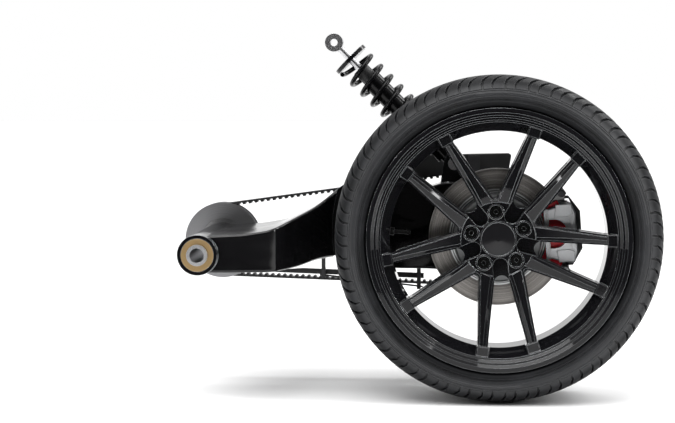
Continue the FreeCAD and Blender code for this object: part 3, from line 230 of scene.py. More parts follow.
class Look(Nodes):
    """A principled material whose colour, roughness and relief come from procedural nodes."""

    def __init__(self, name, colour, rough, metal=0.0, shine=0.5):
        self.material = bpy.data.materials.new(name)
        self.material.use_nodes = True
        super().__init__(self.material.node_tree)
        self.shader = self.tree.nodes["Principled BSDF"]
        self.shader.inputs["Base Color"].default_value = (*colour, 1)
        self.shader.inputs["Roughness"].default_value = rough
        self.shader.inputs["Metallic"].default_value = metal
        self.shader.inputs["Specular IOR Level"].default_value = shine
        self.place = self.add("TexCoord").outputs["Object"]
        self.colour = colour
        self.rough = rough
        self.normal = None

    def feed(self, socket, source):
        """The shader's socket takes its value from another node."""
        self.link(source, self.shader.inputs[socket])

    def noise(self, scale, detail=3.0):
        node = self.add("TexNoise")
        node.inputs["Scale"].default_value = scale
        node.inputs["Detail"].default_value = detail
        self.link(self.place, node.inputs["Vector"])
        return node.outputs["Fac"]

    def lines(self, source, scale, detail=2.0):
        """Noise along one number only, which draws fine turned lines."""
        node = self.add("TexNoise", noise_dimensions="1D")
        node.inputs["Scale"].default_value = scale
        node.inputs["Detail"].default_value = detail
        self.link(source, node.inputs["W"])
        return node.outputs["Fac"]

    def radius_from(self, centre):
        """Distance from a line along Y through the centre."""
        shift = self.add("VectorMath", operation="SUBTRACT")
        shift.inputs[1].default_value = centre
        self.link(self.place, shift.inputs[0])
        flat = self.add("VectorMath", operation="MULTIPLY")
        flat.inputs[1].default_value = (1, 0, 1)
        self.link(shift.outputs[0], flat.inputs[0])
        length = self.add("VectorMath", operation="LENGTH")
        self.link(flat.outputs[0], length.inputs[0])
        return length.outputs["Value"]

    def ring(self, radius, inner, outer, fade):
        """Mask that is 1 between two radii."""
        rise = self.span(radius, (inner, inner + fade), (0, 1))
        fall = self.span(radius, (outer, outer + fade), (0, 1))
        return self.combine(rise, fall, "SUBTRACT")

    def blend(self, mask, first, second):
        """Base colour that turns from the first to the second, where the first may be an output."""
        mix = self.add("Mix", data_type="RGBA")
        if isinstance(first, tuple):
            mix.inputs["A"].default_value = (*first, 1)
        else:
            self.link(first, mix.inputs["A"])
        mix.inputs["B"].default_value = (*second, 1)
        self.link(mask, mix.inputs["Factor"])
        self.feed("Base Color", mix.outputs["Result"])
        return mix.outputs["Result"]

    def mottle(self, source, amount, given=NOISE_RANGE):
        """Colour that runs from a darker to a lighter tone with the source."""
        dark = tuple(channel * (1 - amount) for channel in self.colour)
        light = tuple(channel * (1 + amount) for channel in self.colour)
        return self.blend(self.span(source, given, (0, 1)), dark, light)

    def patch(self, source, amount):
        """Roughness that varies with the source."""
        wanted = (self.rough - amount, self.rough + amount)
        self.feed("Roughness", self.span(source, NOISE_RANGE, wanted))

    def bevel(self, radius):
        node = self.add("Bevel", samples=6)
        node.inputs["Radius"].default_value = radius
        return node.outputs["Normal"]

    def soften(self, radius):
        """Edges that catch the light."""
        self.normal = self.bevel(radius)
        self.feed("Normal", self.normal)

    def relief(self, source, strength, distance):
        node = self.add("Bump")
        node.inputs["Strength"].default_value = strength
        node.inputs["Distance"].default_value = distance
        self.link(source, node.inputs["Height"])
        if self.normal:
            self.link(self.normal, node.inputs["Normal"])
        self.normal = node.outputs["Normal"]
        self.feed("Normal", self.normal)

    def edge(self, radius, colour=EDGE_HIGHLIGHT_GREY, metal=True, base=None):
        """Painted highlights: thin lighter lines where two faces meet in a sharp edge, metallic unless told
        otherwise.
        """
        dot = self.add("VectorMath", operation="DOT_PRODUCT")
        self.link(self.bevel(radius), dot.inputs[0])
        self.link(self.add("NewGeometry").outputs["Normal"], dot.inputs[1])
        mask = self.span(dot.outputs["Value"], EDGE_HIGHLIGHT_RANGE, (0.0, 1.0))
        self.blend(mask, base or self.colour, colour)
        if metal:
            self.feed("Metallic", mask)


def paint_surface(look, line):
    """Softened edges, a faint orange peel and a painted highlight line along the edges."""
    look.soften(radius=0.0012)
    look.relief(look.noise(scale=260.0, detail=1.0), strength=0.04, distance=0.0004)
    look.edge(line)


def gloss_black(name, colour, rough, shine, line=PAINT_EDGE_HIGHLIGHT):
    """Smooth black paint or plastic, with painted highlight lines along its edges, as wide as line."""
    look = Look(name, colour, rough, shine=shine)
    look.patch(look.noise(scale=9.0), amount=0.04)
    paint_surface(look, line)
    return look.material


def wheel_paint():
    """Gloss black that is a little more mirror-like on the barrel than on the spokes and the lips, with
    painted highlight lines on its edges.
    """
    look = Look("wheel_gloss", (0.006, 0.006, 0.007), rough=0.08, shine=0.3)
    radius = look.radius_from(AXLE)
    depth = look.split(look.place)["Y"]
    unrolled = look.combine(radius, look.span(depth, CONE_DEPTHS, (-CONE_SHIFT, 0.0)))
    barrel_shine = look.span(unrolled, BARREL_START, (0.3, 0.8))
    lip_shine = look.span(radius, LIP_START, (0.0, -0.52))
    look.feed("Specular IOR Level", look.combine(barrel_shine, lip_shine))
    barrel_smoothness = look.span(unrolled, BARREL_START, (0.0, -0.045))
    patches = look.span(look.noise(scale=9.0), NOISE_RANGE, (0.05, 0.11))
    look.feed("Roughness", look.combine(barrel_smoothness, patches))
    paint_surface(look, PAINT_EDGE_HIGHLIGHT)
    return look.material


def arm_paint():
    """Gloss paint over a forging that is slightly uneven, so that reflections bend, with painted highlight
    lines on its edges.
    """
    look = Look("arm_gloss", (0.004, 0.004, 0.0045), rough=0.10, shine=0.4)
    look.patch(look.noise(scale=9.0), amount=0.04)
    look.soften(radius=0.0016)
    look.relief(look.noise(scale=14.0, detail=1.0), strength=0.35, distance=0.004)
    look.edge(0.0020)
    return look.material


def satin_black(name, colour, rough):
    """Black coating with a fine grain on steel."""
    look = Look(name, colour, rough)
    grain = look.noise(scale=700.0, detail=2.0)
    look.mottle(look.noise(scale=14.0), amount=0.25)
    look.patch(grain, amount=0.08)
    look.soften(radius=0.0009)
    look.relief(grain, strength=0.12, distance=0.0004)
    return look.material


def turned_metal(name, colour, rough, centre, scale=2600.0):
    """Metal with fine rings about a line along Y through the centre."""
    look = Look(name, colour, rough, metal=1.0)
    grain = look.lines(look.radius_from(centre), scale)
    look.mottle(grain, amount=0.18)
    look.patch(grain, amount=0.08)
    look.soften(radius=0.0006)
    look.relief(grain, strength=0.12, distance=0.0003)
    return look.material


def cast_metal(name, colour, rough):
    """Alloy with the uneven skin of a casting."""
    look = Look(name, colour, rough, metal=0.85)
    look.mottle(look.noise(scale=22.0, detail=5.0), amount=0.10)
    look.patch(look.noise(scale=60.0), amount=0.08)
    look.soften(radius=0.0010)
    look.relief(look.noise(scale=900.0), strength=0.22, distance=0.0005)
    return look.material


def moulded(name, colour, rough):
    """Rubber or plastic with the fine grain of its mould."""
    look = Look(name, colour, rough)
    look.mottle(look.noise(scale=12.0), amount=0.2)
    look.patch(look.noise(scale=35.0), amount=0.07)
    look.soften(radius=0.0008)
    look.relief(look.noise(scale=1300.0, detail=1.0), strength=0.2, distance=0.0003)
    return look.material


def tyre_rubber():
    """Rubber that is dull at the rim, glossier up the sidewall and dull on the tread, with painted shade at
    the rim and on the tread, a painted sheen up the sidewall and painted highlights on the block edges.
    """
    look = Look("tyre_rubber", (0.0125, 0.013, 0.0145), rough=0.52, shine=0.3)
    radius = look.radius_from(AXLE)
    wall_shine = look.span(radius, (0.280, 0.304), (0.08, 0.46))
    tread_shine = look.span(radius, (0.311, 0.323), (0.0, -0.32))
    look.feed("Specular IOR Level", look.combine(wall_shine, tread_shine))
    # Painted shade: darker at the rim and on the tread; painted sheen: paler up the sidewall
    painted_wall_shade_and_sheen = look.span(radius, (0.276, 0.300), (-0.28, 0.18))
    painted_tread_shade = look.span(radius, (0.313, 0.326), (0.0, -0.30))
    painted_light_zones = look.combine(painted_wall_shade_and_sheen, painted_tread_shade)
    tone = look.mottle(look.combine(painted_light_zones, look.noise(scale=18.0, detail=4.0)), amount=0.42)
    # Painted highlights: lighter lines along the edges of the tread blocks
    look.edge(0.0011, (0.085, 0.086, 0.09), metal=False, base=tone)
    look.patch(look.noise(scale=40.0), amount=0.06)
    rings = look.combine(look.lines(radius, scale=900.0, detail=1.0), 0.6, "MULTIPLY")
    look.relief(look.combine(rings, look.noise(scale=1500.0, detail=2.0)), strength=0.10, distance=0.0006)
    return look.material


def hat_zinc():
    """Zinc coating with fine turned rings, and two bright rings on the flange that are painted highlights.
    """
    look = Look("hat_zinc", (0.20, 0.205, 0.205), rough=0.40, metal=1.0)
    radius = look.radius_from(AXLE)
    grain = look.lines(radius, scale=1200.0)
    tone = look.mottle(grain, amount=0.2)
    # The two painted highlight rings, mixed into the colour
    inner, outer = (look.ring(radius, *highlight_ring, HIGHLIGHT_RING_FADE) for highlight_ring in HAT_HIGHLIGHT_RINGS)
    look.blend(look.combine(inner, outer), tone, (0.85, 0.86, 0.86))
    look.patch(grain, amount=0.08)
    look.soften(radius=0.0006)
    look.relief(grain, strength=0.12, distance=0.0003)
    return look.material


def bracket_casting():
    """Black casting whose lugs are machined bright on the outer side."""
    look = Look("caliper_bracket", (0.012, 0.012, 0.013), rough=0.36)
    grain = look.noise(scale=700.0, detail=2.0)
    look.patch(grain, amount=0.08)
    look.soften(radius=0.0009)
    look.relief(grain, strength=0.15, distance=0.0004)
    machined = look.span(look.split(look.place)["Y"], MACHINED_DEPTH, (0.0, 1.0))
    look.blend(machined, look.colour, (0.27, 0.27, 0.265))
    look.feed("Metallic", look.combine(machined, 0.8, "MULTIPLY"))
    return look.material


def disc_faces():
    """Friction faces with fine rings from the lathe and broad ones from the pads."""
    look = Look("disc_iron", (0.27, 0.255, 0.24), rough=0.34, metal=0.9)
    radius = look.radius_from(AXLE)
    fine = look.lines(radius, scale=2400.0)
    broad = look.lines(radius, scale=160.0, detail=1.0)
    both = look.combine(look.combine(fine, 0.5, "MULTIPLY"), look.combine(broad, 0.5, "MULTIPLY"))
    look.mottle(both, amount=0.45, given=(0.38, 0.60))
    look.patch(fine, amount=0.10)
    look.soften(radius=0.0005)
    look.relief(fine, strength=0.18, distance=0.0004)
    return look.material


def make_looks():
    """Material of each node; the added pieces share them."""
    black_steel = satin_black("black_steel", (0.028, 0.028, 0.030), 0.42)
    bright = turned_metal("bright_steel", (0.55, 0.55, 0.56), 0.3, AXLE)
    bright_pivot = turned_metal("bright_steel_pivot", (0.55, 0.55, 0.56), 0.3, PIVOT)
    alloy = turned_metal("alloy", (0.34, 0.34, 0.35), 0.36, AXLE, scale=900.0)
    alloy_front = turned_metal("alloy_front", (0.34, 0.34, 0.35), 0.36, PIVOT, scale=900.0)
    plastic = moulded("black_plastic", (0.009, 0.009, 0.0095), 0.5)
    shock = gloss_black("shock_black", (0.003, 0.003, 0.0035), rough=0.18, shine=0.2)
    return {
        "swing_arm": arm_paint(),
        "clamp_bolts": black_steel,
        "pivot_bushes": turned_metal("bronze", (0.42, 0.29, 0.14), 0.42, PIVOT),
        "pivot_sleeve": bright_pivot,
        "pulley_housing": alloy_front,
        "pulley_bearing": bright_pivot,
        "hub_carrier": cast_metal("carrier_alloy", (0.40, 0.40, 0.41), 0.42),
        "wheel_bearings": bright,
        "caliper_bracket": bracket_casting(),
        "caliper_body": cast_metal("cast_silver", (0.62, 0.63, 0.64), 0.38),
        "caliper_pistons": bright,
        "pad_linings": moulded("pad_lining", (0.07, 0.066, 0.062), 0.8),
        "pad_backings": moulded("pad_red", (0.80, 0.02, 0.035), 0.32),
        "guide_pins": bright,
        "drive_belt": moulded("belt_rubber", (0.014, 0.014, 0.015), 0.6),
        "upper_belt_guard": plastic,
        "lower_belt_guard": plastic,
        "guard_brackets": black_steel,
        "shock_body": shock,
        "shock_rod": bright,
        "spring_seat_low": shock,
        "spring_seat_high": shock,
        "shock_spring": gloss_black("spring_black", (0.003, 0.003, 0.0035), rough=0.22, shine=0.2),
        "bump_stop": moulded("rubber", (0.006, 0.006, 0.0065), 0.5),
        "shock_bolt": bright,
        "tyre": tyre_rubber(),
        "rim": wheel_paint(),
        "lug_nuts": gloss_black("nut_black", (0.004, 0.004, 0.004), rough=0.12, shine=0.15, line=0.0007),
        "centre_cap": gloss_black("cap_plastic", (0.009, 0.009, 0.010), rough=0.14, shine=0.3),
        "valve_stem": gloss_black("valve_black", (0.002, 0.002, 0.002), rough=0.3, shine=0.08, line=0.0004),
        "wheel_hub": bright,
        "axle": bright,
        "axle_nut": black_steel,
        "axle_spacer": bright,
        "disc_ring": disc_faces(),
        "disc_hat": hat_zinc(),
        "rear_pulley": alloy,
        "front_pulley": alloy_front,
        "drive_coupling": black_steel,
    }


def dress(looks):
    """Each CAD node gets its material."""
    for name, node in nodes.items():
        node.data.materials.clear()
        node.data.materials.append(looks[name])


# Mesh helpers


class Shape:
    """Points and faces of a piece, gathered before its mesh is made."""

    def __init__(self):
        self.points = []
        self.faces = []

    def row(self, points):
        """Adds points, and tells where they start."""
        start = len(self.points)
        self.points.extend(points)
        return start

    def band(self, first, second, count, flip=False, turned=False, closed=True):
        """Faces between two rows, given by where they start; turned ones split on their other diagonal."""
        for index in range(count if closed else count - 1):
            after = (index + 1) % count
            quad = (first + index, first + after, second + after, second + index)
            if flip:
                quad = quad[::-1]
            if turned:
                quad = quad[1:] + quad[:1]
            self.faces.append(quad)

    def cap(self, start, count, flip=False):
        """One face over a closed row."""
        face = tuple(range(start, start + count))
        self.faces.append(face[::-1] if flip else face)

    def loft(self, starts, count, flip=False, turned=False):
        """Skin over a run of closed rows, with a cap at either end."""
        for first, second in zip(starts, starts[1:]):
            self.band(first, second, count, flip, turned)
        self.cap(starts[0], count, not flip)
        self.cap(starts[-1], count, flip)

    def revolve(self, profile, steps):
        """Closed ring of (radius, y) points turned about the axle."""
        count = len(profile)
        starts = []
        for step in range(steps):
            angle = TURN * step / steps
            starts.append(self.row(on_wheel(radius, y, angle) for radius, y in profile))
        for first, second in zip(starts, starts[1:] + starts[:1]):
            self.band(first, second, count)

    def make(self, name, body, look, sharp):
        """The piece, riding on a body, with edges sharp beyond an angle in degrees."""
        mesh = bpy.data.meshes.new(name)
        mesh.from_pydata([tuple(point) for point in self.points], [], self.faces)
        mesh.validate()
        mesh.update()
        mesh.shade_smooth()
        mesh.set_sharp_from_angle(angle=math.radians(sharp))
        mesh.materials.append(look)
        piece = add_object(name, mesh)
        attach(piece, body)
        return piece


def on_wheel(radius, y, angle):
    """Point at a radius and angle about the axle, anticlockwise as seen from the outer side."""
    return Vector((AXLE.x + radius * math.cos(angle), y, AXLE.z + radius * math.sin(angle)))


def curve_through(points, per_run):
    """Smooth line through (radius, y) points."""
    line = []
    for index in range(len(points) - 1):
        before = points[max(index - 1, 0)]
        start, end = points[index], points[index + 1]
        after = points[min(index + 2, len(points) - 1)]
        for step in range(per_run):
            t = step / per_run
            line.append(tuple(
                0.5 * (2 * b + (c - a) * t + (2 * a - 5 * b + 4 * c - d) * t * t
                       + (3 * b - a - 3 * c + d) * t ** 3)
                for a, b, c, d in zip(before, start, end, after)
            ))
    line.append(points[-1])
    return line


def value_at(place, places, values):
    """Value at a place, on straight runs between the given places."""
    for (p1, v1), (p2, v2) in zip(zip(places, values), zip(places[1:], values[1:])):
        if place <= p2:
            return v1 + (v2 - v1) * (place - p1) / (p2 - p1)
    return values[-1]


# Tyre with its tread. Points are given as (radius, y) for one half, from the middle outwards

TREAD_LINE = curve_through([
    (0.3411, 0.0), (0.3410, 0.030), (0.3404, 0.058), (0.3388, 0.080), (0.3352, 0.098),
    (0.3300, 0.1090), (0.3230, 0.1178), (0.3150, 0.1235), (0.3080, 0.1265),
], 8)
PITCHES = 42
PITCH = TURN / PITCHES
MM_ANGLE = MM / TYRE_RADIUS
TREAD_DEPTH = 0.0065
SHOULDER_DEPTH = 0.0062

# Rows of blocks: at each distance across, how far they lean along the tread, half the groove between
# pitches, half the sipe that splits the pitch in two and how far it strays from the middle, all in mm.
# The depth is in metres, as everything else is
SHOULDER_ROW = {
    "across": (64, 84, 100, 112, 124, 137),
    "lean": (-12, -5, 3, 10, 13, 13),
    "groove": (3.6, 3.7, 3.8, 3.6, 3.0, 2.2),
    "sipe": (3.0, 3.2, 3.4, 3.3, 2.6, 0.4),
    "hook": (-3, -2, 0, 2, 3, 4),
    "depth": SHOULDER_DEPTH,
}
INNER_ROW = {
    "across": (24, 34, 45, 55),
    "lean": (-16, -9, -3, 1),
    "groove": (1.6, 2.0, 2.6, 3.0),
    "sipe": (0.6, 0.6, 0.6, 0.6),
    "hook": (0, 0, 0, 0),
    "depth": TREAD_DEPTH,
}
RIB_ACROSS = (0.0, 5.0, 10.0, 15.0)
RIB_LEAN = (0, -3, -6, -8)
RIB_GROOVE = 0.7

# A block's rounded border, the flare of its sides, and the shares at which its top has points
BLOCK_LIP = 0.0007
BLOCK_DRAFT = 0.0006
BLOCK_ROWS = (0.2, 0.4, 0.6, 0.8)
BLOCK_COLUMNS = (0.0, 0.05, 0.35, 0.65, 0.95, 1.0)

# Carcass: the groove floor in mm across the tread, then sidewall ribs, rim protector, bead and inside
FLOOR_ACROSS = (0, 15, 30, 45, 58, 64, 76, 88, 98, 106, 114, 122, 130, 136.5)
WALL = [
    (0.3098, 0.1262), (0.3092, 0.1276), (0.3082, 0.1281), (0.3072, 0.1278), (0.3066, 0.1271),
    (0.3054, 0.1276), (0.3046, 0.1284), (0.3038, 0.1288), (0.3000, 0.1292), (0.2972, 0.1294),
    (0.2964, 0.1289), (0.2957, 0.1288), (0.2950, 0.1293), (0.2925, 0.1293), (0.2905, 0.1286),
    (0.2890, 0.1272), (0.2878, 0.1270), (0.2866, 0.1280), (0.2853, 0.1299), (0.2838, 0.1306),
    (0.2815, 0.1303), (0.2792, 0.1288), (0.2768, 0.1262), (0.2748, 0.1228), (0.2735, 0.1190),
    (0.2722, 0.1178), (0.2560, 0.1176), (0.2546, 0.1165), (0.2544, 0.0985), (0.2585, 0.0975),
    (0.2680, 0.1050), (0.2800, 0.1120), (0.2980, 0.1150), (0.3130, 0.1120), (0.3230, 0.1010),
    (0.3275, 0.0840), (0.3285, 0.0500),
]
CARCASS_STEPS = 216

# Raised panels on the sidewall: inner, outer and rough middle radius, depth of the wall behind them, the
# angle of the first one's middle, half their length as an angle, and the heights of their section
PANEL_RADII = (0.2990, 0.3036)
PANEL_RADIUS = 0.3
PANEL_FACE = 0.1291
PANEL_MIDDLE = 0.92
PANEL_HALF_ANGLE = 0.82
PANEL_STEPS = 72
PANEL_RISE = 0.0006
PANEL_SUNK = -0.0004
PANEL_FOOT = -0.0020


def tread_lengths():
    """Distance across the tread at each point of its line."""
    lengths = [0.0]
    for (r1, y1), (r2, y2) in zip(TREAD_LINE, TREAD_LINE[1:]):
        lengths.append(lengths[-1] + math.hypot(r2 - r1, y2 - y1))
    return lengths


TREAD_LENGTHS = tread_lengths()


def tread_point(across, depth, angle, side):
    """Point on the tread at a distance across it from the middle, sunk by a depth."""
    index = 1
    while index < len(TREAD_LENGTHS) - 1 and TREAD_LENGTHS[index] < across:
        index += 1
    run = TREAD_LENGTHS[index] - TREAD_LENGTHS[index - 1]
    t = (across - TREAD_LENGTHS[index - 1]) / run
    (r1, y1), (r2, y2) = TREAD_LINE[index - 1], TREAD_LINE[index]
    out_r, out_y = (y2 - y1) / run, (r1 - r2) / run
    radius = r1 + (r2 - r1) * t - out_r * depth
    y = y1 + (y2 - y1) * t - out_y * depth
    return on_wheel(radius, side * y, angle)


def add_block(shape, starts, ends, across, depth, side):
    """Raised block; starts and ends are the angles of its two lateral edges at each distance across."""
    first, last = across[0], across[-1]
    rows = [first, first + BLOCK_LIP * 2]
    rows += [first + (last - first) * share for share in BLOCK_ROWS]
    rows += [last - BLOCK_LIP * 2, last]
    high, wide = len(rows), len(BLOCK_COLUMNS)
    border = [(i, 0) for i in range(high)]
    border += [(high - 1, j) for j in range(1, wide)]
    border += [(i, wide - 1) for i in range(high - 2, -1, -1)]
    border += [(0, j) for j in range(wide - 2, 0, -1)]
    top = len(shape.points)
    for i, row in enumerate(rows):
        start, end = value_at(row, across, starts), value_at(row, across, ends)
        for j, share in enumerate(BLOCK_COLUMNS):
            sunk = BLOCK_LIP if (i, j) in border else 0.0
            shape.points.append(tread_point(row, sunk, start + (end - start) * share, side))
    foot = len(shape.points)
    flare = [-BLOCK_DRAFT, *[0.0] * (high - 2), BLOCK_DRAFT]
    for row, shift in zip(rows, flare):
        start = value_at(row, across, starts) - BLOCK_DRAFT / TYRE_RADIUS
        end = value_at(row, across, ends) + BLOCK_DRAFT / TYRE_RADIUS
        across_foot = max(row + shift, 0.0)
        for share in BLOCK_COLUMNS:
            shape.points.append(tread_point(across_foot, depth, start + (end - start) * share, side))
    for i in range(high - 1):
        here, there = i * wide, (i + 1) * wide
        shape.band(top + here, top + there, wide, flip=side > 0, closed=False)
        shape.band(foot + here, foot + there, wide, flip=side < 0, turned=True, closed=False)
    for (i, j), (k, m) in zip(border, border[1:] + border[:1]):
        here, there = i * wide + j, k * wide + m
        quad = (top + here, top + there, foot + there, foot + here)
        shape.faces.append(quad[::-1] if side > 0 else quad)


def add_pair(shape, row, first, side):
    """The two blocks of a row's pitch that starts at an angle, parted by its sipe."""
    across = [value * MM for value in row["across"]]
    lean, groove, sipe, hook = (
        [value * MM_ANGLE for value in row[name]] for name in ("lean", "groove", "sipe", "hook")
    )
    left = [first + a + g for a, g in zip(lean, groove)]
    right = [first + PITCH + a - g for a, g in zip(lean, groove)]
    middle = [(a + b) / 2 + h for a, b, h in zip(left, right, hook)]
    add_block(shape, left, [m - s for m, s in zip(middle, sipe)], across, row["depth"], side)
    add_block(shape, [m + s for m, s in zip(middle, sipe)], right, across, row["depth"], side)


def add_rib(shape, first, side):
    """Half of the middle rib's pitch that starts at an angle."""
    across = [value * MM for value in RIB_ACROSS]
    lean = [value * MM_ANGLE for value in RIB_LEAN]
    groove = RIB_GROOVE * MM_ANGLE
    starts = [first + a + groove for a in lean]
    ends = [first + PITCH + a - groove for a in lean]
    add_block(shape, starts, ends, across, TREAD_DEPTH, side)


def add_carcass(shape):
    """The tyre's body below its blocks."""
    half = []
    for across in FLOOR_ACROSS:
        point = tread_point(across * MM, SHOULDER_DEPTH, 0.0, 1) - AXLE
        half.append((point.x, point.y))
    half += WALL
    shape.revolve(half + [(radius, -y) for radius, y in half[:0:-1]], CARCASS_STEPS)


def add_panel(shape, middle, side):
    """Raised plain band on the sidewall with rounded ends."""
    low, high = PANEL_RADII
    width = high - low
    section = (
        (-1.0, PANEL_FOOT), (-1.0, PANEL_SUNK), (-0.5, PANEL_RISE), (0.0, PANEL_RISE), (0.5, PANEL_RISE),
        (1.0, PANEL_SUNK), (1.0, PANEL_FOOT),
    )
    starts = []
    for step in range(PANEL_STEPS + 1):
        along = step / PANEL_STEPS * 2 - 1
        # the band ends in half circles, but never narrows to nothing
        from_end = (1 - abs(along)) * PANEL_HALF_ANGLE * PANEL_RADIUS
        keep = 1.0
        if from_end < width / 2:
            keep = math.sqrt(max(1 - (1 - from_end / (width / 2)) ** 2, 0.01))
        most = PANEL_SUNK if step in (0, PANEL_STEPS) else PANEL_RISE
        angle = middle + along * PANEL_HALF_ANGLE
        starts.append(len(shape.points))
        for share, rise in section:
            radius = (low + high) / 2 + share * keep * width / 2
            shape.points.append(on_wheel(radius, side * (PANEL_FACE + min(rise, most)), angle))
    shape.loft(starts, len(section), flip=side > 0, turned=True)


def add_tyre(look):
    """Tyre with five rows of tread blocks and two plain raised panels on each sidewall."""
    shape = Shape()
    for side in SIDES:
        for pitch in range(PITCHES):
            first = pitch * PITCH
            add_pair(shape, SHOULDER_ROW, first, side)
            add_pair(shape, INNER_ROW, first, side)
            add_rib(shape, first, side)
    add_carcass(shape)
    for side in SIDES:
        for middle in (PANEL_MIDDLE, PANEL_MIDDLE + math.pi):
            add_panel(shape, middle, side)
    piece = shape.make("tyre_with_tread", "wheel", look, sharp=30.0)
    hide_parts("tyre")


# Wheel. The spokes stand in pairs, one spoke on either side of each lug. Each of a spoke's long edges is a
# straight line, given by its slant from the lug's direction and by how far it passes from the axle

LUG_ANGLE = math.radians(23.1)
SPOKE_PAIRS = 5
PAIR_SLANT = math.radians(30.2)
PAIR_REACH = 0.03828
GAP_SLANT = math.radians(10.5)
GAP_REACH = -0.00105
# Radius and depth of the spoke's face at its root, and how much nearer it comes for each metre outwards
SPOKE_ROOT = 0.070
SPOKE_ROOT_Y = -0.082
SPOKE_RISE = 0.1687
FACET_INSET = 0.0036
FACET_SUNK = -0.0006
FACET_NEAR_STEP = 0.0002
FACET_FAR_STEP = 0.0004
FACET_FAR_SHARE = 0.98
# Radius, height of the facet's ridge, and the ridge's share of the way across the spoke
FACET_STATIONS = (
    (0.0785, 0.0036, 0.86), (0.092, 0.0044, 0.82), (0.106, 0.0050, 0.78), (0.130, 0.0052, 0.72),
    (0.160, 0.0048, 0.65), (0.190, 0.0042, 0.58), (0.2205, 0.0036, 0.52),
)


def spoke_sides(radius, inset):
    """Angles from a lug to a spoke's two long edges, drawn in by an inset."""
    pair_side = PAIR_SLANT - math.asin(PAIR_REACH / radius) + inset / radius
    gap_side = TURN / (2 * SPOKE_PAIRS) - GAP_SLANT + math.asin(GAP_REACH / radius) - inset / radius
    return pair_side, gap_side


def add_spoke_facets(look):
    """Low wedge along each spoke that gives it a broad slanting facet towards its partner."""
    shape = Shape()
    for lug in range(SPOKE_PAIRS):
        middle = LUG_ANGLE + lug * TURN / SPOKE_PAIRS
        for side in SIDES:
            starts = []
            for radius, height, ridge in FACET_STATIONS:
                face_y = SPOKE_ROOT_Y - SPOKE_RISE * (radius - SPOKE_ROOT)
                near, far = spoke_sides(radius, FACET_INSET)
                section = (
                    (0.0, FACET_SUNK), (0.0, FACET_NEAR_STEP), (ridge, height),
                    (FACET_FAR_SHARE, FACET_FAR_STEP), (1.0, FACET_SUNK),
                )
                starts.append(shape.row(
                    on_wheel(radius, face_y - rise, middle + side * (near + (far - near) * share))
                    for share, rise in section
                ))
            shape.loft(starts, len(section), flip=side > 0, turned=True)
    piece = shape.make("spoke_facets", "wheel", look, sharp=8.0)


# Brake caliper. Its outlines are (reach, height) points in its own upright frame about the axle

CALIPER_TILT = math.radians(4.3)
# How much further a plate's corner moves than its edges when they are drawn in
CORNER_PULL = 1.4
FIELD_OUTLINES = (
    ((0.120, 0.0345), (0.1485, 0.0335), (0.1585, 0.0395), (0.1570, 0.0600), (0.124, 0.0605)),
    ((0.1500, 0.0040), (0.1605, 0.0040), (0.1605, 0.0360), (0.1520, 0.0310), (0.1505, 0.0200)),
)
FIELD_DEPTHS = (-0.0396, -0.0413)
FIELD_SLOPE = 0.0008
STRIP_OUTLINE = ((0.0985, -0.0525), (0.1085, -0.0525), (0.1085, 0.0525), (0.0985, 0.0525))
STRIP_DEPTHS = (-0.0385, -0.0409)
STRIP_SLOPE = 0.0005


def on_caliper(reach, y, height):
    """Point in the caliper's own upright frame, which leans with the bracket."""
    x = reach * math.cos(CALIPER_TILT) - height * math.sin(CALIPER_TILT)
    z = reach * math.sin(CALIPER_TILT) + height * math.cos(CALIPER_TILT)
    return Vector((AXLE.x + x, y, AXLE.z + z))


def add_plate(shape, outline, depths, slope):
    """Plate over an outline, from one depth to another, its front edge drawn in all round."""
    back, front = depths
    count = len(outline)
    mid_reach = sum(reach for reach, height in outline) / count
    mid_height = sum(height for reach, height in outline) / count
    starts = []
    for y, inset in ((back, 0.0), (front + slope, 0.0), (front, slope)):
        starts.append(len(shape.points))
        for reach, height in outline:
            away = math.hypot(reach - mid_reach, height - mid_height)
            keep = 1 - inset * CORNER_PULL / away
            kept_reach = mid_reach + (reach - mid_reach) * keep
            kept_height = mid_height + (height - mid_height) * keep
            shape.points.append(on_caliper(kept_reach, y, kept_height))
    shape.loft(starts, count)


def add_caliper_ribs(look):
    """Raised fields on the finger's outer face, above and below its slot."""
    shape = Shape()
    for outline in FIELD_OUTLINES:
        add_plate(shape, outline, FIELD_DEPTHS, FIELD_SLOPE)
        mirrored = tuple((reach, -height) for reach, height in outline)[::-1]
        add_plate(shape, mirrored, FIELD_DEPTHS, FIELD_SLOPE)
    piece = shape.make("caliper_ribs", "root", look, sharp=20.0)


def add_pad_springs(look):
    """Bright spring strip along the inner edge of the caliper's finger."""
    shape = Shape()
    add_plate(shape, STRIP_OUTLINE, STRIP_DEPTHS, STRIP_SLOPE)
    piece = shape.make("pad_springs", "root", look, sharp=20.0)


# Bolt heads

# Radius of the washer for each metre across the head's flats
WASHER_SHARE = 0.62
WASHER_SIDES = 24
WASHER_TOP = 0.0012
WASHER_CHAMFER = 0.0004
WASHER_SUNK = 0.0003
HEAD_SIDES = 6
HEAD_CHAMFER = 0.0008
HEAD_TIP_SHARE = 0.88
GUIDE_BOLT_REACH = 0.139
GUIDE_BOLT_Y = -0.0240
GUIDE_BOLT_HEIGHTS = (-0.0825, 0.0825)
GUARD_SCREW_Y = 0.318
GUARD_SCREWS = ((0.410, 0.180), (0.520, 0.182), (0.630, 0.184))


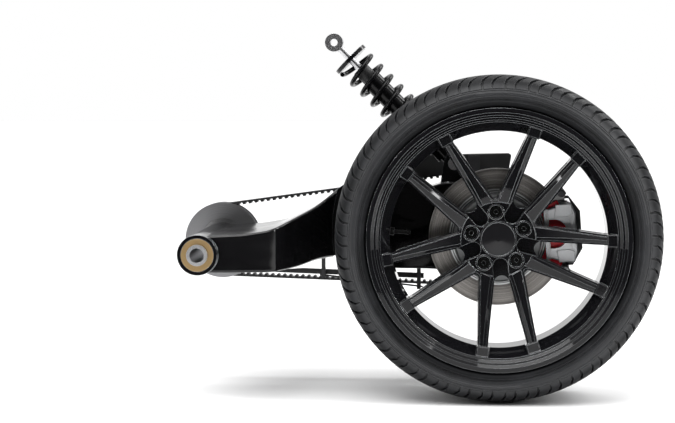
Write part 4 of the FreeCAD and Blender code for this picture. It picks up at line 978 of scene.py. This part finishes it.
def add_bolt(shape, centre, along, flats, head):
    """Hexagon head on its washer, standing on a face at the centre and pointing along an axis."""
    turn = UP.rotation_difference(Vector(along))
    corner = flats / math.sqrt(3)
    washer = flats * WASHER_SHARE

    def stack(sides, sections):
        """Solid over a stack of rings, each given by its radius and height."""
        starts = []
        for radius, height in sections:
            starts.append(len(shape.points))
            for index in range(sides):
                angle = TURN * index / sides
                spot = Vector((radius * math.cos(angle), radius * math.sin(angle), height))
                shape.points.append(Vector(centre) + turn @ spot)
        shape.loft(starts, sides)

    stack(WASHER_SIDES, (
        (washer, -WASHER_SUNK),
        (washer, WASHER_TOP),
        (washer - WASHER_CHAMFER, WASHER_TOP + WASHER_CHAMFER),
    ))
    stack(HEAD_SIDES, (
        (corner, WASHER_TOP),
        (corner, WASHER_TOP + head - HEAD_CHAMFER),
        (corner * HEAD_TIP_SHARE, WASHER_TOP + head),
    ))


def add_guide_bolts(look):
    """Hexagon heads on the bracket's lugs, in line with the two guide pins."""
    shape = Shape()
    for height in GUIDE_BOLT_HEIGHTS:
        place = on_caliper(GUIDE_BOLT_REACH, GUIDE_BOLT_Y, height)
        add_bolt(shape, place, (0, -1, 0), flats=0.013, head=0.0055)
    piece = shape.make("guide_bolts", "root", look, sharp=25.0)


def add_guard_screws(look):
    """Three screws along the outer wall of the upper belt guard."""
    shape = Shape()
    for x, z in GUARD_SCREWS:
        add_bolt(shape, (x, GUARD_SCREW_Y, z), (0, 1, 0), flats=0.008, head=0.004)
    piece = shape.make("guard_screws", "root", look, sharp=25.0)


# Shock absorber's coil, between its two seats along the line from the lower bolt to the upper eye

SHOCK_LOW = Vector((0.530, 0.200, 0.180))
SHOCK_HIGH = Vector((0.262, 0.200, 0.448))
LOW_SEAT = 0.072
HIGH_SEAT = 0.322
SEAT_GAP = 0.0003
SPRING_RADIUS = 0.0425
WIRE_RADIUS = 0.00525
COIL_RADIUS = SPRING_RADIUS - WIRE_RADIUS
COILS = 7.5
STEPS_PER_COIL = 40
WIRE_SIDES = 14


def add_spring(look):
    """Round wire coiled between the two seats."""
    axis = (SHOCK_HIGH - SHOCK_LOW).normalized()
    turn = UP.rotation_difference(axis)
    start = LOW_SEAT + WIRE_RADIUS + SEAT_GAP
    end = HIGH_SEAT - WIRE_RADIUS - SEAT_GAP
    steps = int(COILS * STEPS_PER_COIL)
    line = []
    for index in range(steps + 1):
        t = index / steps
        angle = TURN * COILS * t
        spot = (COIL_RADIUS * math.cos(angle), COIL_RADIUS * math.sin(angle), start + (end - start) * t)
        line.append(SHOCK_LOW + turn @ Vector(spot))
    shape = Shape()
    starts = []
    for index, place in enumerate(line):
        ahead = (line[min(index + 1, steps)] - line[max(index - 1, 0)]).normalized()
        from_low = place - SHOCK_LOW
        out = (from_low - axis * from_low.dot(axis)).normalized()
        across = ahead.cross(out)
        angles = [TURN * side / WIRE_SIDES for side in range(WIRE_SIDES)]
        starts.append(shape.row(
            place + (out * math.cos(angle) + across * math.sin(angle)) * WIRE_RADIUS for angle in angles
        ))
    shape.loft(starts, WIRE_SIDES)
    piece = shape.make("coil_spring", "root", look, sharp=40.0)
    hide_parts("shock_spring")


looks = make_looks()
add_camera()
add_world()
add_floor()
add_sun()
for lamp in LAMPS:
    add_lamp(*lamp)
dress(looks)
add_tyre(looks["tyre"])
add_spoke_facets(looks["rim"])
add_caliper_ribs(looks["caliper_body"])
add_pad_springs(looks["guide_pins"])
add_guide_bolts(looks["clamp_bolts"])
add_guard_screws(looks["clamp_bolts"])
add_spring(looks["shock_spring"])
